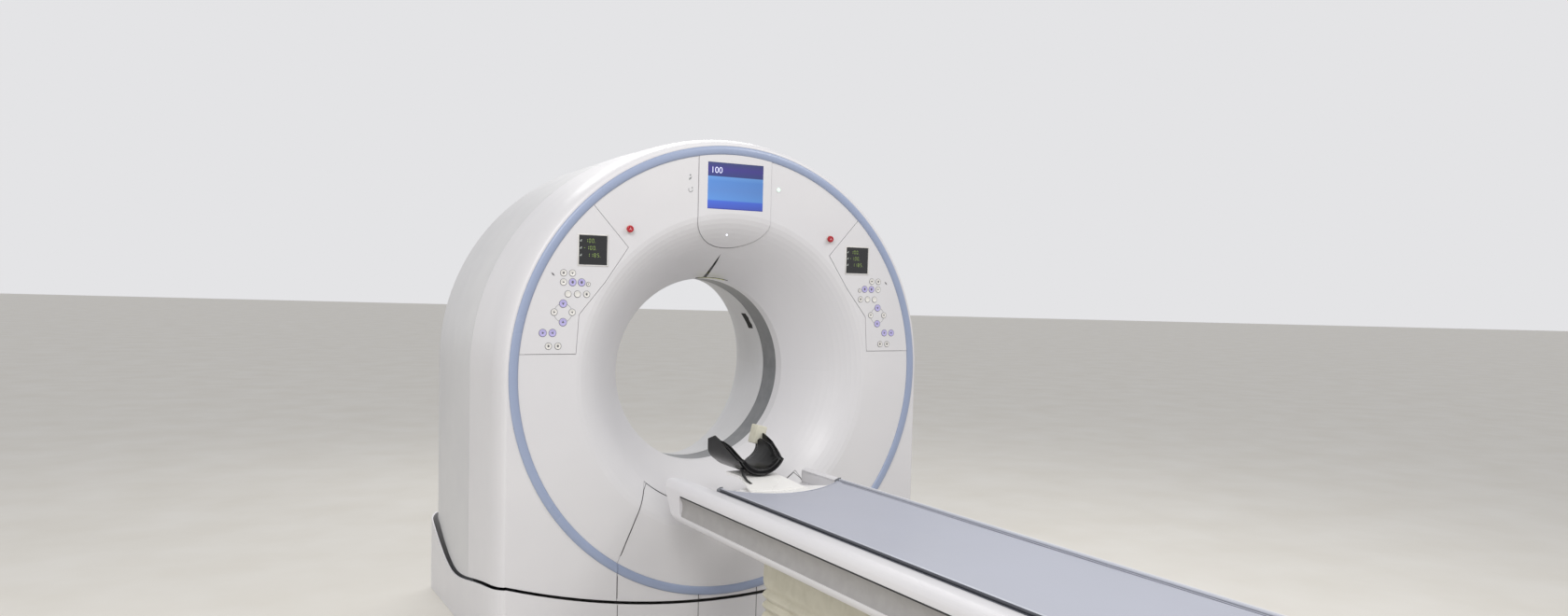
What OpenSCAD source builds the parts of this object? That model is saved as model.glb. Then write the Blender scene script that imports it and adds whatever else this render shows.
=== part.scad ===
// Computed tomography scanner: a tilting gantry on a floor base, with its patient couch.
// Millimetres, +Z up, X across the gantry, +Y from the couch into the bore.
// The origin lies on the floor under the middle of the whole machine.

/* [Gantry housing] */
// Height of the bore axis above the floor
bore_axis_h = 1035; // [1030:1:1060]
// Half width of the housing, and the radius of its arched top
housing_r = 940; // [936:1:950]
// Depth of the housing from its front face to its rear face
housing_d = 1120; // [1080:5:1160]
// Height of the arch centre above the bore axis
arch_rise = 12; // [8:1:16]
// Wall of the moulded covers
shell_t = 5; // [4:0.5:6]
// Depth at which the front and rear shells meet
seam_y = 440; // [420:5:480]
// Width of the open seam between the two shells
seam_w = 3; // [2:0.5:4]
// Depth of the rounded turn from the front face to the sides
front_turn_d = 120; // [90:5:140]
// Amount by which each side draws in towards the rear face
rear_taper = 15; // [8:1:20]
// Radius of the turn from the sides to the rear face
rear_turn_r = 60; // [40:5:70]
// Drop from the bore axis to the housing's lower front edge
front_edge_drop = 905; // [895:1:910]
// Radius of the long arc of that lower edge, seen from the front
lower_arc_r = 2950; // [2850:10:3100]
// Drop from the bore axis to the lower edge at the sides' front end
side_front_drop = 762; // [755:1:770]
// Drop from the bore axis to the lowest point of the sides
side_low_drop = 852; // [845:1:858]
// Depth of that lowest point behind the front face
side_low_y = 640; // [620:5:660]
// Drop from the bore axis to the lower edge at the rear face
rear_edge_drop = 690; // [680:1:700]

/* [Front face] */
// Distance from the housing's outline to the accent ring's centre line
ring_inset = 51; // [48:1:60]
// Width of the accent ring
ring_w = 34; // [30:1:40]
// Height of the accent ring's crown above the front face
ring_proud = 8; // [5:0.5:12]
// Radius of the bore at its lip
bore_r = 390; // [380:1:395]
// Width of the flat front between the accent ring's centre line and the flared mouth
flat_w = 239; // [229:5:259]
// Depth of the bore's lip behind the front face
lip_y = 279; // [260:1:290]
// Exponent of the flare's curve
flare_pow = 1.7; // [1.5:0.05:2]
// Groove left between one cover panel and the next
panel_gap = 2; // [1:0.5:3]
// Depth of the front edge of the scan window
window_y = 330; // [320:1:345]
// Width of the scan window
window_w = 120; // [90:5:140]
// Amount by which the rear flare widens the bore
rear_flare_w = 210; // [150:5:230]
// Exponent of the rear flare's curve
rear_flare_pow = 1.8; // [1.5:0.05:2]
// Amount by which the lower front panel's foot is narrower than the accent ring's radius
lower_panel_inset = 413; // [400:1:430]
// Amount by which the lower front panel's head is narrower than its foot, on each side
lower_panel_taper = 130; // [120:1:140]
// Width of the lower front panel's face between its head and the accent ring
lower_panel_h = 345; // [330:1:360]

/* [Panels and display] */
// Width of the display screen
screen_w = 249; // [230:1:260]
// Height of the display screen
screen_h = 185; // [170:1:200]
// Distance from the accent ring's radius down to the screen's lower edge
screen_drop = 224; // [210:1:234]
// Width of the display's bezel
bezel_w = 326; // [310:1:340]
// Distance from the accent ring's radius down to where the bezel's round foot starts
bezel_drop = 269; // [255:1:280]
// Depth of the bezel's round foot
bezel_foot_h = 105; // [95:1:115]
// Height by which the bezel stands proud of the cover
bezel_proud = 3; // [2:0.5:5]
// Side of the square readout
readout_w = 110; // [100:1:116]
// Distance of each readout's centre from the middle, as a share of the accent ring's radius
readout_share_x = 0.667; // [0.66:0.001:0.675]
// Height of each readout's centre above the bore axis, as a share of the accent ring's radius
readout_share_z = 0.542; // [0.535:0.001:0.55]
// Diameter of a panel key
key_dia = 23; // [18:0.5:25]
// Height of a panel key above its panel
key_proud = 2; // [1:0.25:3]
// Distance of each stop button inwards from its readout's centre
estop_in = 143; // [138:1:150]
// Height of each stop button above its readout's centre
estop_up = 86; // [80:1:92]
// Diameter of the stop button's head
estop_dia = 27; // [22:1:30]
// Travel of the stop button
estop_travel = 4; // [3:0.5:5]
// Width of the alignment laser's slot at its upper end
laser_w = 9; // [7:0.5:12]
// Width of the alignment laser's slot at the bore's lip
laser_foot_w = 16; // [12:1:20]

/* [Tilt and rotor] */
// Depth of the tilt axis and the scan plane behind the front face
tilt_y = 400; // [390:1:410]
// Distance from the housing's side to the inner face of each tilt arm
arm_inset = 140; // [135:1:145]
// Thickness of each tilt arm
arm_t = 35; // [30:1:38]
// Diameter of the trunnion pins
pin_dia = 90; // [70:1:110]
// Radial clearance of a trunnion pin in its bearing
pin_clear = 0.05; // [0.02:0.01:0.09]
// Thickness of the uprights that carry the trunnions
upright_t = 55; // [45:1:60]
// Gap between a tilt arm and its upright
upright_gap = 15; // [12:1:20]
// Depth of the rotor plate's front face
rotor_y = 520; // [515:1:525]
// Thickness of the rotor plate
rotor_t = 30; // [25:1:35]
// Clearance between the rotor plate's rim and the tilt arms
rotor_gap = 30; // [25:1:40]
// Distance from the bore's wall to the rotor plate and the main bearing
rotor_inset = 90; // [85:1:100]
// Width of the main bearing
bearing_w = 60; // [56:1:64]
// Distance from the main bearing's bore to its balls
bearing_pitch = 41; // [38:1:50]
// Diameter of the main bearing's balls
ball_dia = 22; // [18:1:24]
// Number of balls in the main bearing
ball_n = 48; // [36:1:60]
// Distance from the main bearing's balls to the drive's air gap
drive_offset = 99; // [96:1:110]
// Distance from the drive's air gap to the slip ring's tracks
slip_offset = 80; // [76:1:90]
// Thickness of the tilt frame's ring plate
frame_t = 40; // [32:1:45]
// Radial gap between the drive's stator and its magnets
drive_gap = 0.8; // [0.6:0.1:0.9]

/* [Gantry base] */
// Clearance between the housing and the base cover around it
base_gap = 6; // [5:0.5:8]
// Height of the open joint between the housing and the base cover
lower_gap = 10; // [8:1:14]
// Thickness of the base frame's floor plates
plate_t = 30; // [24:1:32]
// Radius of the floor anchor holes
anchor_r = 9; // [7:0.5:11]
// Distance from the uprights' outer face to the anchor holes
anchor_in_x = 255; // [245:5:265]
// Distance from the frame's front and rear ends to the anchor holes
anchor_in_y = 105; // [95:5:115]
// Width of each floor rail
rail_w = 305; // [290:5:320]
// Setback of the frame from the housing's front face
frame_front = 60; // [50:5:70]
// Setback of the frame from the housing's rear face
frame_back = 30; // [25:5:40]

/* [Couch] */
// Height of the mattress's edges above the floor
couch_h = 663; // [655:1:670]
// Width of the mattress
mattress_w = 484; // [470:2:486]
// Length of the mattress
mattress_l = 2080; // [2000:10:2090]
// Thickness of the mattress
mattress_t = 18; // [14:1:22]
// Distance from the gantry's front face to the mattress's front corners
mattress_y = 437; // [430:1:450]
// Dip of the couch top in its middle
dip = 15; // [10:1:18]
// Depth of the concave front edge of the mattress
mattress_scoop = 73; // [60:1:80]
// Width of the cradle under the mattress
cradle_w = 492; // [490:1:496]
// Thickness of the cradle
cradle_t = 20; // [16:1:22]
// Distance from the gantry's front face to the cradle's front end
cradle_y = 395; // [380:1:410]
// Distance from the gantry's front face to the tip of the table top's nose
cradle_tip_y = 285; // [275:1:300]
// Width of the nose's tip
cradle_tip_w = 190; // [170:2:220]
// Width across the couch's side covers
couch_w = 660; // [640:2:680]
// Inner edge of each side cover, from the middle
cover_in_x = 262; // [261:1:266]
// Height of the side covers' top above the floor
cover_top_h = 655; // [652:1:658]
// Depth of the side covers, from their top to their lower edge
cover_depth = 153; // [147:1:159]
// Distance from the gantry's front face to the couch's nose
nose_y = 105; // [100:1:125]
// Slope of the nose, as its setback at the lower edge
nose_back = 140; // [120:1:160]
// Depth of the hollow between the nose's two horns
nose_hollow = 90; // [70:1:110]
// Distance from the gantry's front face to the couch's foot end
couch_reach = 2565; // [2560:5:2600]
// Height of the dark joint above the inset strip
inset_joint_h = 3; // [2:0.5:5]
// Distance from the side covers' top down to the inset strip's channel
inset_drop = 45; // [41:1:51]
// Height of the inset strip's channel
inset_h = 74; // [70:1:78]
// Depth of the channel that holds the inset strip
inset_d = 14; // [12:0.5:16]

/* [Couch lift] */
// Distance from the gantry's front face to the lift column
column_y = 1220; // [1200:10:1260]
// Width of the lift column's outer stage
column_w = 200; // [190:2:210]
// Depth of the lift column's outer stage
column_d = 240; // [230:2:250]
// Wall of each column stage
column_wall = 9; // [7:0.5:10]
// Length of each column stage
column_l = 310; // [305:1:314]
// Downward travel of the couch
lift_down = 260; // [240:5:260]
// Height of the couch base's cover
plinth_h = 190; // [180:1:200]
// Width of the couch base's cover
plinth_w = 560; // [540:5:600]
// Length of the couch base's cover
plinth_l = 1320; // [1250:10:1400]
// Width of the bellows
bellows_w = 470; // [450:2:490]
// Length of the bellows
bellows_l = 1060; // [1020:10:1100]
// Height of the smooth skirt above the bellows' pleats
skirt_h = 132; // [110:2:150]
// Number of pleats in the bellows
pleat_n = 3; // [2:1:5]
// Depth of a pleat
pleat_d = 16; // [8:1:20]

/* [Head holder] */
// Outer radius of the head cup
cup_r = 110; // [105:1:114]
// Height of the head cup's underside above the floor
cup_low_h = 670; // [668:1:674]
// Distance from the gantry's front face to the cup's far end
cup_y = 22; // [20:1:30]
// Length of the head cup
cup_l = 250; // [230:5:260]
// Thickness of the head cup's shell
cup_t = 4; // [3:0.5:5]
// Thickness of the head cushion
cushion_t = 20; // [16:1:24]
// Width of the tongue at the couch
tongue_w = 230; // [210:5:240]
// Width of the tongue at the cup
tongue_tip_w = 160; // [140:5:180]
// Thickness of the tongue
tongue_t = 9; // [7:0.5:11]

/* [Hidden] */
$fn = 96;

// Clearance left where one solid seats on another
seat = 0.3;
// Number of straight stretches in a curved profile
curve_n = 14;
// Overcut of a tool that goes right through
cut = 1;

// Reach of the gantry behind its front face, with the base cover
gantry_reach = housing_d + base_gap + shell_t;
// Place of the gantry's front face in the model's frame
face_y = (couch_reach - gantry_reach) / 2;

// Radii that follow the housing's outline and the bore
ring_r = housing_r - ring_inset;
flare_r = ring_r - flat_w;
lower_panel_x = ring_r - lower_panel_inset;
screen_z = ring_r - screen_drop;
bezel_foot_z = ring_r - bezel_drop;
readout_x = ring_r * readout_share_x;
readout_z = ring_r * readout_share_z;
estop_x = readout_x - estop_in;
estop_z = readout_z + estop_up;
lower_panel_head_x = lower_panel_x - lower_panel_taper;
lower_panel_head_r = ring_r - lower_panel_h;
rear_mouth_r = bore_r + rear_flare_w;
arm_x = housing_r - arm_inset;
rotor_r = arm_x - rotor_gap;
rotor_bore_r = bore_r + rotor_inset;
bearing_r = rotor_bore_r + bearing_pitch;
drive_r = bearing_r + drive_offset;
slip_r = drive_r + slip_offset;

cover_low_h = cover_top_h - cover_depth;
inset_top_h = cover_top_h - inset_drop;
inset_low_h = inset_top_h - inset_h;

ring_in = ring_r - ring_w / 2;
ring_out = ring_r + ring_w / 2;
flat_r = ring_out + 4;
turn_w = housing_r - flat_r;
flange_t = 6;
flange_in = ring_in - 20;
window_end = window_y + window_w;
side_drop = arch_rise + front_edge_drop + 40;
pin_r = pin_dia / 2;
upright_in = arm_x + arm_t + upright_gap;
upright_out = upright_in + upright_t;

white = [0.93, 0.93, 0.92];
pearl = [0.88, 0.89, 0.90];
accent = [0.62, 0.68, 0.84];
dark = [0.12, 0.12, 0.13];
steel = [0.55, 0.57, 0.60];
painted = [0.78, 0.79, 0.80];

// Points of an elliptical stretch about a centre
function arc_pts(cx, cy, rx, ry, a0, a1, n = curve_n) =
    [for (i = [0:n]) let (a = a0 + (a1 - a0) * i / n) [cx + rx * cos(a), cy + ry * sin(a)]];
// A list in the opposite order
function flip(list) = [for (i = [len(list) - 1:-1:0]) list[i]];
// Points of the flared mouth, s = 0 at the flat and s = 1 at the lip
function flare_pt(s) = [flare_r - (flare_r - bore_r) * s, lip_y * pow(s, flare_pow)];
// Direction out of the back of the flare's skin
function flare_back(s) = let (a = lip_y * flare_pow * pow(s, flare_pow - 1), b = flare_r - bore_r)
    [a, b] / norm([a, b]);
// Radius of the rear flare at a share of its length
function rear_flare_r(s) = bore_r + (rear_mouth_r - bore_r) * pow(s, rear_flare_pow);
// Depth below the couch's edges of the dished couch top
function dish_dip(x) = dip * (1 - pow(2 * x / cradle_w, 2));

// Places its children on the gantry: Y from the front face, Z from the bore axis
module gantry() {
    translate([0, face_y, bore_axis_h]) children();
}

// Places its children on the couch: Y from the gantry's front face, Z from the floor
module couch() {
    translate([0, face_y, 0]) children();
}

// Turns a profile of radius and depth about the Y axis, through the whole circle
module spin() {
    mirror([0, 1, 0]) rotate([90, 0, 0]) rotate_extrude($fn = 180) children();
}

// Turns a profile of radius and depth about the Y axis, through the upper half circle
module arch_spin() {
    mirror([0, 1, 0]) rotate([90, 0, 0]) rotate_extrude(angle = 180, $fn = 180) children();
}

// A straight bar along Y
module rod_y(r, y0, y1) {
    translate([0, y0, 0]) rotate([-90, 0, 0]) cylinder(r = r, h = y1 - y0, $fn = 180);
}

// An outline of X and Z, extruded from one depth to another
module face_prism(y0, y1) {
    translate([0, y1, 0]) rotate([90, 0, 0]) linear_extrude(height = y1 - y0) children();
}

// An outline of Y and Z, extruded across X
module side_prism(x0, x1) {
    translate([x0, 0, 0]) rotate([90, 0, 90]) linear_extrude(height = x1 - x0) children();
}

// An annulus about the Y axis
module hoop(r0, r1, y0, y1) {
    spin() translate([r0, y0]) square([r1 - r0, y1 - y0]);
}

// A wall that follows the arch over the top and runs straight down at both sides
module arch_wall(profile) {
    translate([0, 0, arch_rise]) {
        arch_spin() polygon(profile);
        for (side = [0, 1]) mirror([side, 0, 0])
            translate([0, 0, -side_drop]) linear_extrude(height = side_drop) polygon(profile);
    }
}

// A point on a cubic curve through two end points, drawn by two handles
function cubic(a, b, c, d, t) =
    pow(1 - t, 3) * a + 3 * pow(1 - t, 2) * t * b + 3 * (1 - t) * pow(t, 2) * c + pow(t, 3) * d;

// The space above the housing's lower edge, moved down by a clearance
module above_lower_edge(down = 0) {
    fall = [for (i = [0:8]) cubic([0, -side_front_drop], [side_low_y * 0.47, -side_front_drop - 28],
        [side_low_y * 0.78, -side_low_drop], [side_low_y, -side_low_drop], i / 8)];
    rise = [for (i = [1:8]) cubic([side_low_y, -side_low_drop], [side_low_y + 140, -side_low_drop],
        [housing_d - 220, -rear_edge_drop - 110], [housing_d, -rear_edge_drop], i / 8)];
    translate([0, 0, -down]) {
        // Seen from the front, over the turn into the sides
        intersection() {
            translate([0, -60, lower_arc_r - front_edge_drop]) rotate([-90, 0, 0])
                cylinder(r = lower_arc_r, h = 60 + front_turn_d, $fn = 360);
            translate([-1100, -60, -1200]) cube([2200, 60 + front_turn_d, 2500]);
        }
        // Seen from the side, over the whole depth
        side_prism(-1100, 1100) polygon(concat([[-60, 1300], [-60, -side_front_drop]], fall, rise,
            [[housing_d + 60, -rear_edge_drop], [housing_d + 60, 1300]]));
    }
}

// Outline of the housing seen from above, grown by a clearance
module plan_outline(grow) {
    corner = turn_w + grow;
    back = housing_d + grow;
    half = housing_r + grow;
    polygon(concat(
        arc_pts(flat_r, front_turn_d, corner, front_turn_d + grow, -90, 0, 8),
        arc_pts(half - rear_turn_r, back - rear_turn_r, rear_turn_r, rear_turn_r, 0, 90, 8),
        arc_pts(rear_turn_r - half, back - rear_turn_r, rear_turn_r, rear_turn_r, 90, 180, 8),
        arc_pts(-flat_r, front_turn_d, corner, front_turn_d + grow, 180, 270, 8)));
}

// Outline of the lower front panel, grown by a clearance
module lower_outline(grow = 0) {
    head_z = -sqrt(pow(lower_panel_head_r, 2) - pow(lower_panel_head_x, 2));
    ring_z = arch_rise - sqrt(pow(ring_in, 2) - pow(lower_panel_x, 2));
    difference() {
        polygon([[-lower_panel_head_x - grow, head_z + 200], [-lower_panel_head_x - grow, head_z],
            [-lower_panel_x - grow, ring_z], [-lower_panel_x - grow, -1100],
            [lower_panel_x + grow, -1100], [lower_panel_x + grow, ring_z],
            [lower_panel_head_x + grow, head_z], [lower_panel_head_x + grow, head_z + 200]]);
        circle(r = lower_panel_head_r - grow, $fn = 180);
    }
}

// Skin of the front face and the flared mouth, standing proud by an amount
module dish_skin(outer_r, proud = 0) {
    steps = [for (i = [0:curve_n]) i / curve_n];
    front = [for (s = steps) flare_pt(s) - proud * flare_back(s)];
    back = [for (s = steps) flare_pt(s) + shell_t * flare_back(s)];
    spin() polygon(concat(
        [[outer_r, -proud]], front, [[bore_r - proud, window_y - seat], [bore_r + shell_t, window_y - seat]],
        flip(back), [[outer_r, shell_t]]));
}

// Outline of a control panel on the right-hand side, grown by a clearance
module panel_outline(grow = 0) {
    // Corners from the ring's upper end round the bore side to its lower end
    upper = [41, 216];
    apex = [-141, 16];
    waist = [-48, -121];
    bend = [51, -242];
    foot = [61, -390];
    translate([readout_x, readout_z]) offset(delta = grow)
        polygon([upper, apex, waist, bend, foot, foot + [300, 0]]);
}

// Outline of the display's bezel, grown by a clearance
module bezel_outline(grow = 0) {
    half = bezel_w / 2 + grow;
    polygon(concat([[half, ring_r], [-half, ring_r]],
        arc_pts(0, bezel_foot_z, half, bezel_foot_h + grow, 180, 360, 24)));
}

// Circle inside the accent ring, smaller by a clearance
module inside_ring(gap, y0, y1) {
    translate([0, 0, arch_rise]) rod_y(ring_in - gap, y0, y1);
}

// Profile of the lowest trim: one upright, seen from the side, about the tilt axis
module upright_outline() {
    polygon([[500, plate_t - bore_axis_h], [490, -860], [285, -480], [285, -60],
        [330, 85], [470, 85], [520, -60], [890, -900], [890, plate_t - bore_axis_h]]);
    translate([tilt_y, 0]) circle(r = pin_r + 70);
}

module base_frame() {
    rail_in = upright_out - rail_w;
    rail_end = housing_d - frame_back;
    reach_x = housing_r + base_gap - seat;
    reach_y = housing_d + base_gap - seat;
    color(steel) gantry() difference() {
        union() {
            for (side = [0, 1]) mirror([side, 0, 0]) {
                // Floor rail and upright of this side, one weldment
                translate([rail_in, frame_front, -bore_axis_h]) cube([rail_w, rail_end - frame_front, plate_t]);
                side_prism(upright_in, upright_out) upright_outline();
                // Outriggers that hold the base cover
                for (y = [330, rail_end - 190]) translate([upright_out - 205, y, -bore_axis_h])
                    cube([reach_x - upright_out + 205, 80, plate_t]);
                translate([rail_in - 200, -base_gap + seat, -bore_axis_h])
                    cube([320, frame_front + base_gap + 20, plate_t]);
                translate([rail_in + 40, rail_end - 90, -bore_axis_h]) cube([120, reach_y - rail_end + 90, plate_t]);
                // Foot gusset of the upright
                side_prism(upright_in - 120, upright_in) polygon([[640, plate_t - bore_axis_h],
                    [655, plate_t - bore_axis_h], [655, -760], [640, -760]]);
            }
            for (y = [frame_front, rail_end - 100]) translate([-rail_in - 50, y, -bore_axis_h])
                cube([2 * rail_in + 100, 100, plate_t]);
        }
        for (side = [-1, 1]) translate([side * (upright_in + upright_t / 2), tilt_y, 0])
            rotate([0, 90, 0]) cylinder(r = pin_r + pin_clear, h = upright_t + 2 * cut, center = true);
        for (x = [-1, 1], y = [frame_front + anchor_in_y, rail_end - anchor_in_y])
            translate([x * (upright_out - anchor_in_x), y, -bore_axis_h - cut])
                cylinder(r = anchor_r, h = plate_t + 2 * cut, $fn = 32);
    }
}

module base_tub() {
    difference() {
        translate([0, 0, -bore_axis_h]) linear_extrude(height = 340) difference() {
            plan_outline(base_gap + shell_t);
            plan_outline(base_gap);
        }
        above_lower_edge(lower_gap);
    }
}

// Block around the middle part of the base's front wall
module base_front_zone(grow) {
    translate([-lower_panel_x - grow, -base_gap - shell_t - cut, -bore_axis_h - cut])
        cube([2 * (lower_panel_x + grow), shell_t + 2 * cut, 400]);
}

module base_cover() {
    color(white) gantry() difference() {
        base_tub();
        base_front_zone(panel_gap);
    }
}

module base_front_panel() {
    duct_x = 165;
    duct_w = 170;
    duct_h = 52;
    color(white) gantry() difference() {
        intersection() {
            base_tub();
            base_front_zone(0);
        }
        translate([-duct_x - duct_w / 2, -base_gap - shell_t - cut, -bore_axis_h - cut])
            cube([duct_w, shell_t + 2 * cut, duct_h + cut]);
    }
}

module tilt_drive() {
    // Flat gear unit on the outside of the right-hand upright, with its motor behind it
    x0 = upright_out + seat;
    body_t = 16;
    color([0.30, 0.33, 0.36]) gantry() difference() {
        union() {
            translate([x0, tilt_y, 0]) rotate([0, 90, 0]) cylinder(r = pin_r + 60, h = body_t);
            translate([x0, tilt_y + 60, -50]) cube([body_t, 240, 100]);
            translate([upright_in, tilt_y + 135, -50]) cube([x0 + body_t - upright_in, 165, 100]);
        }
        translate([x0 - cut, tilt_y, 0]) rotate([0, 90, 0])
            cylinder(r = pin_r + pin_clear, h = body_t + 2 * cut);
    }
}

module tilt_frame() {
    y0 = rotor_y + rotor_t + bearing_w;
    color(painted) gantry() {
        difference() {
            union() {
                hoop(rotor_bore_r + 30, arm_x, y0, y0 + frame_t);
                for (side = [-1, 1]) {
                    // Arm that reaches forward to the trunnion
                    side_prism(side > 0 ? arm_x : -arm_x - arm_t, side > 0 ? arm_x + arm_t : -arm_x)
                        polygon([[tilt_y - 90, -90], [tilt_y - 90, 90], [y0, 210], [y0 + frame_t, 230],
                            [y0 + frame_t, -230], [y0, -210]]);
                    translate([side > 0 ? arm_x - 60 : -arm_x - arm_t, y0, -230])
                        cube([60 + arm_t, frame_t, 460]);
                }
                // Stiffening rim of the ring plate
                hoop(arm_x - 24, arm_x, y0 - 30, y0 + frame_t);
            }
            for (a = [15:30:345]) rotate([0, a, 0]) translate([(rotor_bore_r + 30 + arm_x) / 2 + 35, 0, 0]) rod_y(42, y0 - cut, y0 + frame_t + cut);
        }
        for (side = [-1, 1]) translate([side * (arm_x + arm_t), tilt_y, 0]) rotate([0, side * 90, 0])
            cylinder(r = pin_r, h = upright_gap + upright_t + 8);
    }
}

module cover_brackets() {
    y0 = rotor_y + rotor_t + bearing_w + frame_t;
    // Distance to the inside of the shells' joint, less the sagitta of a flat bracket
    reach = housing_r - 2 * shell_t - seat - 0.9;
    front = shell_t + flange_t + seat;
    color(painted) gantry() {
        for (a = [-35, -90, -145]) rotate([0, a, 0]) {
            // Strap from the tilt frame out to the shells, then forward along them
            translate([arm_x - 30, y0 + seat, -30]) cube([reach - arch_rise * sin(a) - arm_x + 30, 8, 60]);
            translate([reach - arch_rise * sin(a) - 8, 140, -30]) cube([8, y0 + seat + 8 - 140, 60]);
        }
        for (x = [-330, 330]) translate([x - 30, 0, 0]) {
            // Bar that runs forward under the rotor to the lower front panel
            translate([0, y0 + seat, 20 - arm_x]) cube([60, 8, 60]);
            translate([0, front, -arm_x - 8]) cube([60, y0 + seat + 8 - front, 8]);
            translate([0, y0 + seat, -arm_x - 8]) cube([60, 8, 60]);
        }
    }
}

// Flange that the ring and the skins beside it seat on
module ring_flange() {
    translate([0, 0, arch_rise]) hoop(flange_in, ring_out + 5, shell_t, shell_t + flange_t);
}

module front_shell() {
    shell_profile = concat([[ring_out + seat, 0]],
        arc_pts(flat_r, front_turn_d, turn_w, front_turn_d, -90, 0),
        [[housing_r, seam_y - seam_w / 2], [housing_r - shell_t, seam_y - seam_w / 2]],
        arc_pts(flat_r, front_turn_d, turn_w - shell_t, front_turn_d - shell_t, 0, -90),
        [[ring_out + seat, shell_t]]);
    color(white) gantry() difference() {
        union() {
            intersection() {
                difference() {
                    union() {
                        arch_wall(shell_profile);
                        translate([-flat_r, 0, arch_rise - side_drop]) cube([2 * flat_r, shell_t, side_drop]);
                    }
                    translate([0, 0, arch_rise]) rod_y(ring_out + seat, -cut, shell_t + cut / 2);
                }
                above_lower_edge();
            }
            // Flange behind the front face that seats the ring and the front cover
            ring_flange();
        }
        lower_ring_zone(panel_gap / 2);
    }
}

module rear_shell() {
    end_r = housing_r - rear_taper;
    turn_c = end_r - rear_turn_r;
    start = seam_y + seam_w / 2;
    lip_r = housing_r - shell_t - seat;
    shell_profile = concat(
        [[housing_r, start]],
        arc_pts(turn_c, housing_d - rear_turn_r, rear_turn_r, rear_turn_r, 0, 90, 8),
        [[turn_c - 4, housing_d], [turn_c - 4, housing_d - shell_t]],
        arc_pts(turn_c, housing_d - rear_turn_r, rear_turn_r - shell_t, rear_turn_r - shell_t, 90, 0, 8),
        [[housing_r - shell_t, start + 30], [lip_r - shell_t, start + 30], [lip_r - shell_t, start - 18],
            [lip_r, start - 18], [lip_r, start]]);
    // Inner flange that seats the rear cover
    flange_profile = [[turn_c - 20, housing_d - shell_t - flange_t], [turn_c + 10, housing_d - shell_t - flange_t],
        [turn_c + 10, housing_d - shell_t + 1], [turn_c - 4, housing_d - shell_t + 1],
        [turn_c - 4, housing_d - shell_t], [turn_c - 20, housing_d - shell_t]];
    color(pearl) gantry() intersection() {
        union() {
            arch_wall(shell_profile);
            arch_wall(flange_profile);
        }
        above_lower_edge();
    }
}

module rear_cover() {
    plate_r = housing_r - rear_taper - rear_turn_r - 4 - seat;
    steps = [for (i = [0:curve_n]) i / curve_n];
    length = housing_d - window_end - seat;
    skin = [for (s = steps) [rear_flare_r(s), window_end + seat + length * s]];
    back = [for (s = steps) [rear_flare_r(s) + shell_t, window_end + seat + length * s]];
    color(pearl) gantry() {
        intersection() {
            difference() {
                union() {
                    translate([0, 0, arch_rise]) rod_y(plate_r, housing_d - shell_t + seat, housing_d);
                    translate([-plate_r, housing_d - shell_t + seat, arch_rise - side_drop])
                        cube([2 * plate_r, shell_t - seat, side_drop]);
                }
                rod_y(rear_mouth_r + shell_t / 2, housing_d - 2 * shell_t, housing_d + cut);
            }
            above_lower_edge();
        }
        spin() polygon(concat(skin, flip(back)));
    }
}

module front_cover() {
    color(white) gantry() difference() {
        intersection() {
            dish_skin(ring_r);
            inside_ring(seat, -cut, window_y);
        }
        face_prism(-cut, window_y) lower_outline(panel_gap / 2);
        for (side = [0, 1]) mirror([side, 0, 0]) face_prism(-cut, 2 * shell_t) panel_outline(panel_gap / 2);
        face_prism(-cut, window_y) bezel_outline(panel_gap / 2);
        for (side = [-1, 1]) translate([side * estop_x, 0, estop_z]) rod_y(estop_dia / 2 + 2, -cut, 2 * shell_t);
        laser_zone(seat);
    }
}

module lower_panel() {
    color(white) gantry() {
        intersection() {
            dish_skin(ring_r);
            inside_ring(seat, -cut, window_y);
            face_prism(-cut, window_y) lower_outline(-panel_gap / 2);
        }
        // Strip between the accent ring and the base, and the web behind the ring
        intersection() {
            union() {
                difference() {
                    translate([-lower_panel_x, 0, -front_edge_drop - 95]) cube([2 * lower_panel_x, shell_t, 400]);
                    translate([0, 0, arch_rise]) rod_y(ring_out + seat, -cut, shell_t + cut);
                }
                ring_flange();
            }
            lower_ring_zone(-panel_gap / 2);
            above_lower_edge();
        }
    }
}

// The crowned section of the accent ring
module ring_section() {
    spin() polygon(concat([[ring_in, shell_t - seat], [ring_in, 0]],
        arc_pts(ring_r, 0, ring_w / 2, ring_proud, 180, 360, 10), [[ring_out, shell_t - seat]]));
}

// The part of the accent ring that comes off with the lower panel
module lower_ring_zone(grow) {
    translate([-lower_panel_x - grow, -50, arch_rise - ring_r - 130]) cube([2 * (lower_panel_x + grow), 100, 600]);
}

module accent_ring() {
    color(accent) gantry() difference() {
        translate([0, 0, arch_rise]) ring_section();
        lower_ring_zone(panel_gap / 2);
    }
}

module lower_accent() {
    color(accent) gantry() intersection() {
        translate([0, 0, arch_rise]) ring_section();
        lower_ring_zone(-panel_gap / 2);
    }
}

module scan_window() {
    color([0.42, 0.43, 0.45]) gantry() {
        hoop(bore_r + 1, bore_r + 4, window_y, window_end);
        // Rim that clips over the ends of the front and rear skins
        hoop(bore_r + shell_t + 2 * seat, bore_r + shell_t + 4, window_y - 10, window_end + 10);
        hoop(bore_r + 4, bore_r + shell_t + 4, window_y + 2, window_y + 8);
        hoop(bore_r + 4, bore_r + shell_t + 4, window_end - 8, window_end - 2);
    }
}

// Wedge around the alignment laser's slot above the bore, grown by a clearance
module laser_zone(grow) {
    low = bore_r + 6 - grow;
    top = bore_r + 102 + grow;
    face_prism(-cut, lip_y) polygon([[-laser_foot_w / 2 - grow, low], [laser_foot_w / 2 + grow, low],
        [laser_w / 2 + grow, top - 30], [0, top], [-laser_w / 2 - grow, top - 30]]);
}

module laser_window() {
    color(dark) gantry() intersection() {
        dish_skin(ring_r, -seat);
        laser_zone(-seat);
    }
}

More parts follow.
